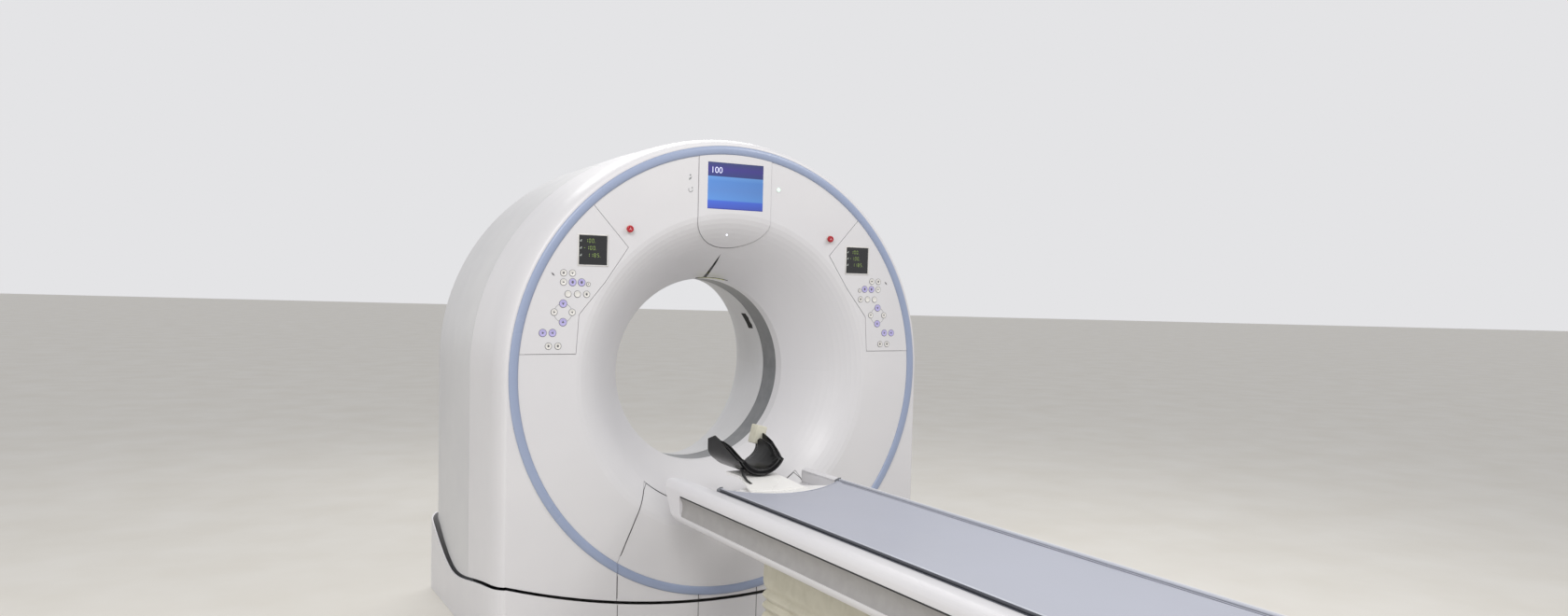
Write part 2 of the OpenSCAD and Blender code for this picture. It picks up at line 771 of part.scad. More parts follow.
module display_bezel() {
    color(white) gantry() difference() {
        intersection() {
            dish_skin(ring_r, bezel_proud);
            inside_ring(seat, -10, window_y);
            face_prism(-10, window_y) bezel_outline(-panel_gap / 2);
        }
        translate([-screen_w / 2, -10, screen_z]) cube([screen_w, 10 + shell_t - 2, screen_h]);
    }
}

module display_screen() {
    color([0.16, 0.25, 0.62]) gantry()
        translate([-screen_w / 2 + seat, -bezel_proud + 1, screen_z + seat])
            cube([screen_w - 2 * seat, bezel_proud + shell_t - 3 - seat, screen_h - 2 * seat]);
}

// Places of the panel keys on the right-hand side, from the bore axis: X, Z and a size factor
key_places = [
    [113, -88, 1], [79, -88, 1],
    [113, -122, 1], [78, -122, 1.15], [43, -122, 1.15], [17, -128, 0.6],
    [95, -166, 1], [59, -166, 1], [23, -166, 1],
    [113, -202, 1.2], [147, -234, 1], [78, -234, 1], [113, -271, 1.2],
    [189, -311, 1.15], [152, -311, 1.15], [167, -360, 1], [131, -360, 1]];

module control_panel() {
    difference() {
        intersection() {
            face_prism(-1, shell_t) panel_outline(-panel_gap / 2);
            inside_ring(seat, -2, shell_t + cut);
        }
        translate([readout_x - readout_w / 2, -2, readout_z - readout_w / 2])
            cube([readout_w, shell_t, readout_w]);
    }
}

module right_panel() {
    color(white) gantry() control_panel();
}

module left_panel() {
    color(white) gantry() mirror([1, 0, 0]) control_panel();
}

module readout() {
    translate([readout_x - readout_w / 2 + seat, -1.5, readout_z - readout_w / 2 + seat])
        cube([readout_w - 2 * seat, shell_t - 0.5 - seat, readout_w - 2 * seat]);
}

module right_readout() {
    color(dark) gantry() readout();
}

module left_readout() {
    color(dark) gantry() mirror([1, 0, 0]) readout();
}

// The keys of one panel, each a domed cap on a collar that stands on the panel's face
module panel_keys() {
    for (p = key_places) translate([readout_x + p[0], -1 - seat, readout_z + p[1]]) rotate([90, 0, 0]) {
        cylinder(d = key_dia * p[2], h = key_proud / 2, $fn = 40);
        translate([0, 0, key_proud / 2]) cylinder(d1 = key_dia * p[2] - 4, d2 = key_dia * p[2] - 6,
            h = key_proud / 2, $fn = 40);
    }
}

module right_keys() {
    color([0.72, 0.74, 0.92]) gantry() panel_keys();
}

module left_keys() {
    color([0.72, 0.74, 0.92]) gantry() mirror([1, 0, 0]) panel_keys();
}

module estop_collars() {
    color([0.80, 0.80, 0.78]) gantry() for (side = [-1, 1]) translate([side * estop_x, 0, estop_z])
        spin() polygon([[7, -2], [estop_dia / 2 + 4, -2], [estop_dia / 2 + 4, -seat],
            [estop_dia / 2 + 1.5, -seat], [estop_dia / 2 + 1.5, shell_t + 8], [7, shell_t + 8]]);
}

// A mushroom head on a stem that runs in the collar
module estop(side) {
    gap = 2 + estop_travel + 0.5;
    color("firebrick") gantry() translate([side * estop_x, 0, estop_z])
        spin() polygon(concat([[0, shell_t + 4], [0, -gap - 9]],
            arc_pts(0, -gap - 4, estop_dia / 2, 5, -90, 0, 6),
            [[estop_dia / 2, -gap], [6.95, -gap], [6.95, shell_t + 4]]));
}

module left_estop() {
    estop(-1);
}

module right_estop() {
    estop(1);
}

// Bearing and drive, about the bore axis
module bearing_outer_race() {
    y0 = rotor_y + rotor_t;
    color(steel) gantry() difference() {
        hoop(bearing_r + 2, bearing_r + 34, y0 + seat, y0 + bearing_w - seat);
        spin() translate([bearing_r, y0 + bearing_w / 2]) circle(d = ball_dia + 2 * seat);
    }
}

module bearing_inner_race() {
    y0 = rotor_y + rotor_t;
    color(steel) gantry() difference() {
        hoop(rotor_bore_r, bearing_r - 2, y0, y0 + bearing_w - 2);
        spin() translate([bearing_r, y0 + bearing_w / 2]) circle(d = ball_dia + 2 * seat);
    }
}

module bearing_balls() {
    y0 = rotor_y + rotor_t;
    color([0.8, 0.8, 0.82]) gantry() for (i = [0:ball_n - 1]) rotate([0, 360 * i / ball_n, 0])
        translate([bearing_r, y0 + bearing_w / 2, 0]) sphere(d = ball_dia, $fn = 32);
}

module drive_stator() {
    y0 = rotor_y + rotor_t + bearing_w;
    color([0.45, 0.30, 0.20]) gantry() difference() {
        hoop(drive_r, drive_r + 30, y0 - 44, y0 - seat);
        for (i = [0:35]) rotate([0, 10 * i, 0]) translate([drive_r - 10, y0 - 46, -7]) cube([22, 32, 14]);
    }
}

module drive_magnets() {
    y0 = rotor_y + rotor_t;
    color(dark) gantry() hoop(drive_r - 26, drive_r - drive_gap, y0, y0 + 44);
}

module slip_ring() {
    y0 = rotor_y + rotor_t;
    color([0.78, 0.62, 0.30]) gantry() difference() {
        hoop(slip_r - 30, slip_r, y0, y0 + 40);
        for (i = [0:3]) hoop(slip_r - 2, slip_r + 2, y0 + 5 + 9 * i, y0 + 9 + 9 * i);
    }
}

module brush_block() {
    y0 = rotor_y + rotor_t;
    color([0.20, 0.20, 0.22]) gantry() rotate([0, 42, 0]) {
        translate([slip_r + seat, y0 + 2, -45]) cube([40, bearing_w - 2 - seat, 90]);
        translate([slip_r + 12, y0 + 8, -62]) cube([20, bearing_w - 8 - seat, 17]);
    }
}

module rotor_plate() {
    color(painted) gantry() difference() {
        union() {
            hoop(rotor_bore_r, rotor_r, rotor_y, rotor_y + rotor_t);
            hoop(rotor_r - 16, rotor_r, rotor_y - 40, rotor_y + rotor_t);
        }
        for (a = [0:20:340]) rotate([0, a, 0]) translate([rotor_r - 35, 0, 0]) rod_y(12, rotor_y - cut, rotor_y + rotor_t + cut);
    }
}

module xray_tube() {
    // Radius of the tube's axis from the bore axis
    seat_r = (bore_r + rotor_r) / 2 + 30;
    color([0.75, 0.76, 0.78]) gantry() translate([0, 0, seat_r]) {
        difference() {
            rod_y(88, 230, rotor_y - seat);
            for (y = [250:22:480]) hoop(84, 90, y, y + 8);
        }
        rod_y(60, 205, 230);
        translate([-45, 350, -110]) cube([90, 100, 60]);
    }
}

module collimator() {
    color([0.35, 0.36, 0.38]) gantry() difference() {
        union() {
            translate([-90, tilt_y - 60, bore_r + 38]) cube([180, 120, 72 - seat]);
            translate([-70, tilt_y + 60, bore_r + 50]) cube([140, rotor_y - tilt_y - 60 - seat, 40]);
        }
        translate([-60, tilt_y - 10, bore_r + 10]) cube([120, 20, 120]);
    }
}

module detector() {
    // An arc below the bore, facing the tube, with a cover strip and module blocks behind it
    color([0.60, 0.62, 0.66]) gantry() {
        intersection() {
            hoop(bore_r + 210, bore_r + 250, tilt_y - 60, rotor_y - seat);
            face_prism(0, rotor_y) polygon([[0, 0], [-2 * bore_r, -3 * bore_r], [2 * bore_r, -3 * bore_r]]);
        }
        for (a = [60:6:120]) rotate([0, a, 0]) translate([bore_r + 246, tilt_y - 55, -22]) cube([40, 130, 44]);
    }
}

// A finned box on the rotor plate, turned about the bore axis
module rotor_box(angle, r, w, h, y0, fin) {
    rotate([0, -angle, 0]) translate([r, y0, -w / 2]) difference() {
        cube([h, rotor_y - seat - y0, w]);
        for (i = [1:7]) translate([h - fin, -cut, i * w / 8 - 6]) cube([fin + cut, rotor_y - y0 - 60, 12]);
    }
}

module hv_generator() {
    color([0.50, 0.52, 0.50]) gantry() rotor_box(165, bore_r + 130, 300, 180, 300, 14);
}

module heat_exchanger() {
    color([0.62, 0.60, 0.52]) gantry() rotor_box(22, bore_r + 140, 260, 170, 290, 24);
}

// Outline of the couch's nose and tail seen from the side, moved inwards by a wall
module couch_side_outline(wall) {
    low = cover_low_h + wall;
    back = couch_reach - wall;
    polygon([[-nose_y - wall, 800], [-nose_y - wall, cover_top_h - 10], [-nose_y - 18 - wall, 600],
        [-nose_y - 61 - wall, inset_low_h], [-nose_y - 92 - wall, low + 13],
        [-nose_y - nose_back - wall, low],
        [-back + 60, low], [-back + 18, low + 18], [-back, low + 60], [-back, 800]]);
}

// Cross-section of the right-hand side cover, moved inwards by a wall
module side_cover_section(wall) {
    turn = 32 - wall;
    half = couch_w / 2 - wall;
    top = cover_top_h - wall;
    low = cover_low_h + wall;
    polygon(concat([[cover_in_x - (wall > 0 ? cut : 0), low]],
        arc_pts(half - turn, low + turn, turn, turn, -90, 0, 8),
        arc_pts(half - turn, top - turn, turn, turn, 0, 90, 8),
        [[cover_in_x - (wall > 0 ? cut : 0), top]]));
}

// The plan of the couch's upper body: its nose ends in two horns, and its tail is rounded
module couch_plan(wall) {
    r = 50 - wall;
    tip_r = 12 - wall / 2;
    half = couch_w / 2 - wall;
    near = -nose_y - wall;
    far = -couch_reach + wall;
    hollow = [for (i = [0:8]) let (x = (half - 34) * (1 - i / 4))
        [x, near - 4 - nose_hollow * (1 - pow(x / (half - 34), 4))]];
    translate([0, 0, 300]) linear_extrude(height = 500) polygon(concat(
        arc_pts(half - tip_r, near - tip_r, tip_r, tip_r, 0, 90, 5), hollow,
        arc_pts(tip_r - half, near - tip_r, tip_r, tip_r, 90, 180, 5),
        arc_pts(r - half, far + r, r, r, 180, 270, 8), arc_pts(half - r, far + r, r, r, 270, 360, 8)));
}

// The solid of the right-hand side cover, moved inwards by a wall
module side_cover_solid(wall) {
    intersection() {
        face_prism(-couch_reach - 10, 0) side_cover_section(wall);
        side_prism(0, couch_w) couch_side_outline(wall);
        couch_plan(wall);
    }
}

// Long rounded outline of the inset strip, moved inwards by a clearance
module inset_outline(gap) {
    near = -nose_y - 140 - gap;
    far = -couch_reach + 90 + gap;
    low = inset_low_h + gap;
    top = inset_top_h - gap;
    r = 14;
    polygon(concat(
        arc_pts(near - r - 6, low + r, r, r, -90, 0, 5), arc_pts(near - r, top - r, r, r, 0, 90, 5),
        arc_pts(far + r, top - r, r, r, 90, 180, 5), arc_pts(far + r, low + r, r, r, 180, 270, 5)));
}

module side_cover() {
    face = couch_w / 2;
    difference() {
        union() {
            difference() {
                side_cover_solid(0);
                side_cover_solid(shell_t);
            }
            // Back and returns of the inset channel
            intersection() {
                side_prism(face - inset_d - 4, face - 1) offset(delta = 4) inset_outline(0);
                side_cover_solid(0);
            }
        }
        side_prism(face - inset_d, face + cut) inset_outline(0);
    }
}

module right_side_cover() {
    color(white) couch() side_cover();
}

module left_side_cover() {
    color(white) couch() mirror([1, 0, 0]) side_cover();
}

module side_insets() {
    face = couch_w / 2;
    low = inset_low_h + seat;
    top = inset_top_h - inset_joint_h;
    // Hollow face of the strip, deepest in its middle
    hollow = [for (i = [0:12]) let (t = i / 6 - 1) [face - 2.5 - (inset_d - 4.5) * (1 - t * t),
        (low + top) / 2 + t * (top - low) / 2]];
    color([0.62, 0.62, 0.64]) couch() for (side = [0, 1]) mirror([side, 0, 0]) intersection() {
        side_prism(face - inset_d + seat, face) inset_outline(seat);
        face_prism(-couch_reach, 0) polygon(concat([[face - inset_d + seat, low]], hollow,
            [[face - inset_d + seat, top]]));
    }
}

// Height of the nose cover's top, under the cradle's path
nose_top_h = couch_h - mattress_t - dip - cradle_t - 5;
// Depth of the couch frame's front end
frame_y = 430;
// Height of the couch frame's top
frame_top_h = nose_top_h - 15;

module nose_cover() {
    half = cover_in_x - seat;
    color(white) couch() difference() {
        intersection() {
            translate([-half, -frame_y, cover_low_h]) cube([2 * half, frame_y, nose_top_h - cover_low_h]);
            side_prism(-half, half) couch_side_outline(0);
            couch_plan(0);
        }
        intersection() {
            translate([-half + shell_t, -frame_y - cut, cover_low_h])
                cube([2 * (half - shell_t), frame_y + cut, nose_top_h - shell_t - cover_low_h]);
            side_prism(-half, half) couch_side_outline(shell_t);
            couch_plan(shell_t);
        }
    }
}

module tail_cover() {
    half = cover_in_x - seat;
    color(white) couch() difference() {
        intersection() {
            translate([-half, -couch_reach, cover_low_h])
                cube([2 * half, 70, nose_top_h - cover_low_h]);
            side_prism(-half, half) couch_side_outline(0);
        }
        intersection() {
            translate([-half + shell_t, -couch_reach, cover_low_h])
                cube([2 * (half - shell_t), 70 + cut, nose_top_h - cover_low_h - shell_t]);
            side_prism(-half, half) couch_side_outline(shell_t);
        }
    }
}

module couch_frame() {
    half = cover_in_x - seat;
    wall = 6;
    back = couch_reach - 70;
    low = cover_low_h + seat;
    color(steel) couch() difference() {
        union() {
            difference() {
                translate([-half, -back + seat, low])
                    cube([2 * half, back - frame_y - 2 * seat, frame_top_h - low]);
                translate([wall - half, -back + seat + wall, low + wall])
                    cube([2 * (half - wall), back - frame_y - 2 * (seat + wall), frame_top_h - low]);
            }
            // Box that takes the head of the lift column, and the beams that carry the rails
            translate([-column_w / 2 - 14, -column_y - column_d / 2 - 14, low])
                cube([column_w + 28, column_d + 28, frame_top_h - low]);
            for (x = [-1, 1]) translate([x * 150 - 20, -back + seat, low])
                cube([40, back - frame_y - 2 * seat, frame_top_h - low]);
        }
        translate([-column_w / 2 - 6, -column_y - column_d / 2 - 6, low - cut])
            cube([column_w + 12, column_d + 12, frame_top_h - low - 8 + cut]);
    }
}

module slide_rails() {
    color(steel) couch() for (x = [-1, 1]) {
        translate([x * 150 - 12, -couch_reach + 90, frame_top_h]) cube([24, couch_reach - 90 - frame_y - 20, 12]);
        translate([x * 150 - 7, -couch_reach + 90, frame_top_h]) cube([14, couch_reach - 90 - frame_y - 20, 15]);
    }
}

// One stage of the lift column
module column_stage(step, z0, length) {
    shrink = step * (2 * column_wall + 2 * seat);
    w = column_w - shrink;
    d = column_d - shrink;
    difference() {
        translate([-w / 2, -column_y - d / 2, z0]) cube([w, d, length]);
        translate([column_wall - w / 2, -column_y + column_wall - d / 2, z0 - cut])
            cube([w - 2 * column_wall, d - 2 * column_wall, length + 2 * cut]);
    }
}

// Height of the couch base's plate
foot_t = 12;
// Height of the inner stage's head, against the frame's top
column_head_h = frame_top_h - 8;

module column_outer() {
    color(steel) couch() column_stage(0, foot_t, column_l);
}

module column_middle() {
    color(painted) couch() column_stage(1, foot_t + 10 + lift_down / 2, column_l - 14);
}

module column_inner() {
    color(steel) couch() column_stage(2, column_head_h - column_l + 6, column_l - 6);
}

module couch_base() {
    inset = 2 * (shell_t + seat);
    color(steel) couch() difference() {
        linear_extrude(height = foot_t) round_plan(plinth_w - inset, plinth_l - inset, 36);
        for (x = [-1, 1], y = [-1, 1]) translate([x * 220, -column_y + y * 560, -cut])
            cylinder(r = 8, h = foot_t + 2 * cut, $fn = 32);
    }
}

// A rounded rectangle around the lift column
module round_plan(w, l, r) {
    translate([0, -column_y]) polygon(concat(
        arc_pts(w / 2 - r, l / 2 - r, r, r, 0, 90, 4), arc_pts(r - w / 2, l / 2 - r, r, r, 90, 180, 4),
        arc_pts(r - w / 2, r - l / 2, r, r, 180, 270, 4), arc_pts(w / 2 - r, r - l / 2, r, r, 270, 360, 4)));
}

module couch_plinth() {
    color(white) couch() difference() {
        union() {
            linear_extrude(height = plinth_h - 10) round_plan(plinth_w, plinth_l, 40);
            translate([0, 0, plinth_h - 10]) linear_extrude(height = 10)
                round_plan(plinth_w - 12, plinth_l - 12, 34);
        }
        translate([0, 0, -cut]) linear_extrude(height = plinth_h - 10 - shell_t + cut)
            round_plan(plinth_w - 2 * shell_t, plinth_l - 2 * shell_t, 36);
        linear_extrude(height = plinth_h + cut)
            round_plan(bellows_w - 2 * pleat_d - 40, bellows_l - 2 * pleat_d - 40, 20);
    }
}

// Folds of the bellows along one direction, as an outline of width and height
module pleat_outline(width, gap) {
    z0 = plinth_h + seat;
    top = cover_low_h - seat;
    pitch = (top - skirt_h - z0) / pleat_n;
    half = width / 2 - gap;
    right = [for (i = [0:2 * pleat_n]) [half - (i % 2 == 0 ? pleat_d : 0), z0 + i * pitch / 2]];
    skirt = [[half - pleat_d / 3, top - skirt_h + pitch / 3], [half - pleat_d / 3, top]];
    edge = concat(right, skirt);
    polygon(concat(edge, flip([for (p = edge) [-p[0], p[1]]])));
}

// The body of the bellows, moved inwards by an amount
module bellows_solid(gap) {
    intersection() {
        face_prism(-column_y - bellows_l / 2, -column_y + bellows_l / 2) pleat_outline(bellows_w, gap);
        translate([0, -column_y, 0]) side_prism(-bellows_w / 2, bellows_w / 2) pleat_outline(bellows_l, gap);
    }
}

module couch_bellows() {
    color([0.86, 0.85, 0.76]) couch() difference() {
        bellows_solid(0);
        bellows_solid(3);
    }
}

// A slab across the couch whose top and bottom follow the dished couch top
module dished(width, thickness, top, y0, y1) {
    n = 12;
    xs = [for (i = [0:n]) (i / n - 0.5) * width];
    face_prism(y0, y1) polygon(concat([for (x = xs) [x, top - dish_dip(x)]],
        flip([for (x = xs) [x, top - dish_dip(x) - thickness]])));
}

cradle_top_h = couch_h - mattress_t;

module cradle() {
    back = couch_reach - 30;
    half = cradle_w / 2;
    tip = cradle_tip_w / 2;
    // Curved flank of the nose, from full width to its tip
    flank = [for (i = [1:6]) cubic([half, -cradle_y - 70], [half - 2, -cradle_y - 20],
        [tip + 50, -cradle_tip_y - 60], [tip, -cradle_tip_y - 22], i / 6)];
    color(white) couch() {
        intersection() {
            dished(cradle_w, cradle_t, cradle_top_h - seat, -back, -cradle_tip_y);
            translate([0, 0, 400]) linear_extrude(height = 400) polygon(concat(
                [[half, -back], [half, -cradle_y - 70]], flank,
                arc_pts(tip - 22, -cradle_tip_y - 22, 22, 22, 0, 90, 5),
                arc_pts(22 - tip, -cradle_tip_y - 22, 22, 22, 90, 180, 5),
                flip([for (p = flank) [-p[0], p[1]]]), [[-half, -cradle_y - 70], [-half, -back]]));
        }
        // Runner blocks that ride on the slide rails
        for (x = [-1, 1], y = [1000, 1500, 2300]) difference() {
            translate([x * 150 - 20, -y - 40, frame_top_h + 4])
                cube([40, 80, cradle_top_h - seat - dish_dip(150) - cradle_t + 2 - frame_top_h - 4]);
            translate([x * 150 - 12 - seat, -y - 41, frame_top_h]) cube([24 + 2 * seat, 82, 12 + seat]);
            translate([x * 150 - 7 - seat, -y - 41, frame_top_h]) cube([14 + 2 * seat, 82, 15 + seat]);
        }
    }
}

module mattress() {
    // Radius of the scooped front edge
    scoop_r = (pow(mattress_w / 2, 2) + pow(mattress_scoop, 2)) / (2 * mattress_scoop);
    color([0.72, 0.73, 0.79]) couch() difference() {
        dished(mattress_w, mattress_t, couch_h, -mattress_y - mattress_l, -mattress_y);
        translate([0, -mattress_y - mattress_scoop + scoop_r, 400]) cylinder(r = scoop_r, h = 400, $fn = 180);
    }
}

module table_rails() {
    rail_in = cradle_w / 2 + seat;
    rail_out = cover_in_x - 4;
    color([0.32, 0.33, 0.36]) couch() for (side = [0, 1]) mirror([side, 0, 0])
        face_prism(-couch_reach + 40, -mattress_y) polygon([
            [rail_in, cradle_top_h - 24], [rail_out, cradle_top_h - 24], [rail_out, cradle_top_h],
            [rail_out - 4, cradle_top_h + 6], [rail_in, cradle_top_h + 12]]);
}

module corner_caps() {
    rail_out = cover_in_x - 4;
    color([0.55, 0.56, 0.60]) couch() for (side = [0, 1]) mirror([side, 0, 0])
        side_prism(mattress_w / 2 + 4 + seat, rail_out) polygon([
            [-mattress_y + seat, cradle_top_h - 20], [-mattress_y + 34, cradle_top_h - 20],
            [-mattress_y + 26, cradle_top_h + 16], [-mattress_y + seat, cradle_top_h + 28]]);
}

// Height of the cup's axis
cup_axis_h = cup_low_h + cup_r;
// Far and near ends of the cup, measured from the gantry's front face
cup_far = -cup_y;
cup_near = -cup_y - cup_l;

module head_tongue() {
    // Back edge of the root, just clear of the mattress's scooped edge
    root_y = -mattress_y - mattress_scoop + 18;
    neck_y = -cradle_y - 20;
    neck_z = cup_low_h - tongue_t - seat;
    color(white) couch() {
        // Root that lies in the cradle's dish
        dished(tongue_w, tongue_t, cradle_top_h + tongue_t, root_y, neck_y + 8);
        // Neck that rises to the cup
        hull() {
            dished(tongue_w, tongue_t, cradle_top_h + tongue_t, neck_y, neck_y + 8);
            translate([-tongue_tip_w / 2, cup_near + 20, neck_z]) cube([tongue_tip_w, 8, tongue_t]);
        }
        // Saddle under the cup
        translate([-tongue_tip_w / 2, cup_near + 20, neck_z]) cube([tongue_tip_w, 120, tongue_t]);
    }
}

// Side outline that trims the cup: low at the neck, with wings that rise towards the crown
module cup_trim(wing) {
    side_prism(-200, 200) polygon([[cup_near - 20, cup_low_h - 20], [cup_near - 20, cup_axis_h - 52],
        [cup_near + 20, cup_axis_h - 46], [cup_near + 90, cup_axis_h - 18],
        [cup_near + 150, cup_axis_h + wing * 0.45], [cup_near + 190, cup_axis_h + wing],
        [cup_far + 10, cup_axis_h + wing + 4], [cup_far + 10, cup_low_h - 20]]);
}

// Half-round trough about the cup's axis, whose sides run straight up
module trough(r0, r1, y0, y1, wing) {
    intersection() {
        difference() {
            union() {
                translate([0, 0, cup_axis_h]) rod_y(r1, y0, y1);
                translate([-r1, y0, cup_axis_h]) cube([2 * r1, y1 - y0, 70]);
            }
            translate([0, 0, cup_axis_h]) rod_y(r0, y0 - cut, y1 + cut);
            translate([-r0, y0 - cut, cup_axis_h]) cube([2 * r0, y1 - y0 + 2 * cut, 71]);
        }
        cup_trim(wing);
    }
}

module head_cup() {
    color([0.88, 0.87, 0.82]) couch() trough(cup_r - cup_t, cup_r, cup_near, cup_far, 50);
}

module head_cushion() {
    color([0.08, 0.08, 0.09]) couch()
        trough(cup_r - cup_t - seat - cushion_t, cup_r - cup_t - seat, cup_near - 8, cup_far - 50, 20);
}

base_frame();
base_cover();
base_front_panel();
tilt_drive();
tilt_frame();
cover_brackets();
front_shell();
rear_shell();
rear_cover();
front_cover();
lower_panel();
accent_ring();
lower_accent();
scan_window();
display_bezel();
display_screen();
left_panel();
right_panel();
left_readout();
right_readout();
left_keys();
right_keys();
estop_collars();
laser_window();
bearing_outer_race();
drive_stator();
brush_block();
rotor_plate();
bearing_inner_race();
bearing_balls();
xray_tube();
collimator();
detector();
hv_generator();
heat_exchanger();
slip_ring();
drive_magnets();
left_estop();
right_estop();
couch_base();
couch_plinth();
column_outer();
column_middle();
couch_bellows();
column_inner();
couch_frame();
left_side_cover();
right_side_cover();
side_insets();
nose_cover();
tail_cover();
slide_rails();
cradle();
mattress();
table_rails();
corner_caps();
head_tongue();
head_cup();
head_cushion();
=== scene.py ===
import math

import bpy
from mathutils import Matrix, Vector


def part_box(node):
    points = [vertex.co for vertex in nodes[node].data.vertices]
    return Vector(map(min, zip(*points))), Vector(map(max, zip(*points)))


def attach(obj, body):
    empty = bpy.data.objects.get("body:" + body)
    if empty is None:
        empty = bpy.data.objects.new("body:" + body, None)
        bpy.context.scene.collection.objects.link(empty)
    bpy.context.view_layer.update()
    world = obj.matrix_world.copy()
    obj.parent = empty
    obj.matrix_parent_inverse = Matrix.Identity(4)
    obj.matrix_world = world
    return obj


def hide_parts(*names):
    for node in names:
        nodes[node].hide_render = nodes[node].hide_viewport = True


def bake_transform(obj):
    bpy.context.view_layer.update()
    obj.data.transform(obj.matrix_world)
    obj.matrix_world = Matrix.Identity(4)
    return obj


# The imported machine
# The scanner's solids come in as they were made, in metres, standing on the floor.
# Everything below is placed from them: the front face's depth, and the bore's axis.
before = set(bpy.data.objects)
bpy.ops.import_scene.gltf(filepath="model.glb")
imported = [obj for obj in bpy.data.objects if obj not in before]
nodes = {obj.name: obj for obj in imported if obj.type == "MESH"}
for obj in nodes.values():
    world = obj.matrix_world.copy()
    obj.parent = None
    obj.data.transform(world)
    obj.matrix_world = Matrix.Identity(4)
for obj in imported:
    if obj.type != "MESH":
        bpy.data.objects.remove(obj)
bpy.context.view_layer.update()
FACE_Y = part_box("front_cover")[0].y
AXIS_Z = 1.035
scene = bpy.context.scene
scene.view_settings.view_transform = "Standard"

# The camera
# A plain camera that stands where the picture was taken, beside the couch.
# It looks along the couch into the bore, a little downwards, with its frame level shifted.
SENSOR_W, PICTURE_W, FOCAL_PX, SHIFT_PX = 36, 1680, 1150, 32.3
EYE = (-1.966, FACE_Y - 3.866, AXIS_Z + 0.360)
YAW, PITCH, ROLL = 0.5187, 0.0473, 0.0241
camera_data = bpy.data.cameras.new("camera")
camera_data.sensor_width = SENSOR_W
camera_data.lens = SENSOR_W * FOCAL_PX / PICTURE_W
camera_data.shift_y = SHIFT_PX / PICTURE_W
camera_data.clip_end = 60
camera = bpy.data.objects.new("camera", camera_data)
scene.collection.objects.link(camera)
ahead = Vector((math.sin(YAW) * math.cos(PITCH), math.cos(YAW) * math.cos(PITCH), -math.sin(PITCH)))
level = Vector((math.cos(YAW), -math.sin(YAW), 0))
above = level.cross(ahead)
right = math.cos(ROLL) * level + math.sin(ROLL) * above
up = -math.sin(ROLL) * level + math.cos(ROLL) * above
camera.matrix_world = Matrix((
    (right.x, up.x, -ahead.x, EYE[0]),
    (right.y, up.y, -ahead.y, EYE[1]),
    (right.z, up.z, -ahead.z, EYE[2]),
    (0, 0, 0, 1)))
scene.camera = camera

# Floor and studio light
# A pale floor runs out to a pale surround. Wide soft lamps stand in for the room's
# ceiling panels, with one low fill from the couch's side.


def linear(text):
    """An sRGB hex colour as the linear values that the shaders use."""
    parts = [int(text[i:i + 2], 16) / 255 for i in (1, 3, 5)]
    return [c / 12.92 if c <= 0.04045 else ((c + 0.055) / 1.055) ** 2.4 for c in parts] + [1.0]


def feed(tree, node, inputs):
    """Gives a node's inputs their values, or links from other nodes' outputs."""
    for name, value in inputs.items():
        if isinstance(value, bpy.types.NodeSocket):
            tree.links.new(value, node.inputs[name])
        else:
            node.inputs[name].default_value = value


def add(tree, kind, inputs, stops=(), **settings):
    """Adds one node with its settings, inputs and (position, hex colour) stops, and gives its outputs."""
    made = tree.nodes.new("ShaderNode" + kind)
    for name, value in settings.items():
        setattr(made, name, value)
    feed(tree, made, inputs)
    if stops:
        bar = made.color_ramp.elements
        while len(bar) < len(stops):
            bar.new(0.5)
        for stop, (position, colour) in zip(bar, stops):
            stop.position, stop.color = position, linear(colour)
    return made.outputs


def noise(tree, place, scale, detail, **more):
    """Cloudy noise at a scale per metre, with a number of finer layers."""
    return add(tree, "TexNoise", {"Vector": place, "Scale": scale, "Detail": detail, **more})["Fac"]


def relief(tree, height, strength, depth, **more):
    """Surface relief from a texture's height, of a depth in metres."""
    return add(tree, "Bump", {"Height": height, "Strength": strength, "Distance": depth, **more})["Normal"]


def new_finish(name):
    """A new material, with its node tree and its Principled shader."""
    material = bpy.data.materials.new(name)
    material.use_nodes = True
    return material, material.node_tree, material.node_tree.nodes["Principled BSDF"]


FLOOR_W, FLOOR_DROP = 160, 0.0005
bpy.ops.object.select_all(action="DESELECT")
bpy.ops.mesh.primitive_plane_add(size=FLOOR_W, location=(0, 0, -FLOOR_DROP))
floor = bpy.context.object
floor.name = "floor"
floor_tile, tree, shader = new_finish("Floor, pale polished tile")
place = add(tree, "TexCoord", {})["Object"]
veins = noise(tree, place, 2.2, 5.0)
tint = add(tree, "ValToRGB", {"Fac": veins}, ((0.3, "#E0DCD3"), (0.7, "#E6E3DC")))
feed(tree, shader, {"Base Color": tint["Color"], "Roughness": 0.55})
floor.data.materials.append(floor_tile)

world = bpy.data.worlds.new("studio")
scene.world = world
world.use_nodes = True
tree = world.node_tree
tree.nodes.clear()
rays = add(tree, "LightPath", {})
lit = add(tree, "Background", {"Color": linear("#F2F2F4"), "Strength": 0.62})
seen = add(tree, "Background", {"Color": linear("#E4E4E6"), "Strength": 1.0})
direct = rays["Is Camera Ray"]
for bounced in ("Is Glossy Ray", "Is Transmission Ray"):
    direct = add(tree, "Math", {0: direct, 1: rays[bounced]}, operation="MAXIMUM")[0]
surround = add(tree, "MixShader", {0: direct, 1: lit[0], 2: seen[0]})
add(tree, "OutputWorld", {"Surface": surround[0]})

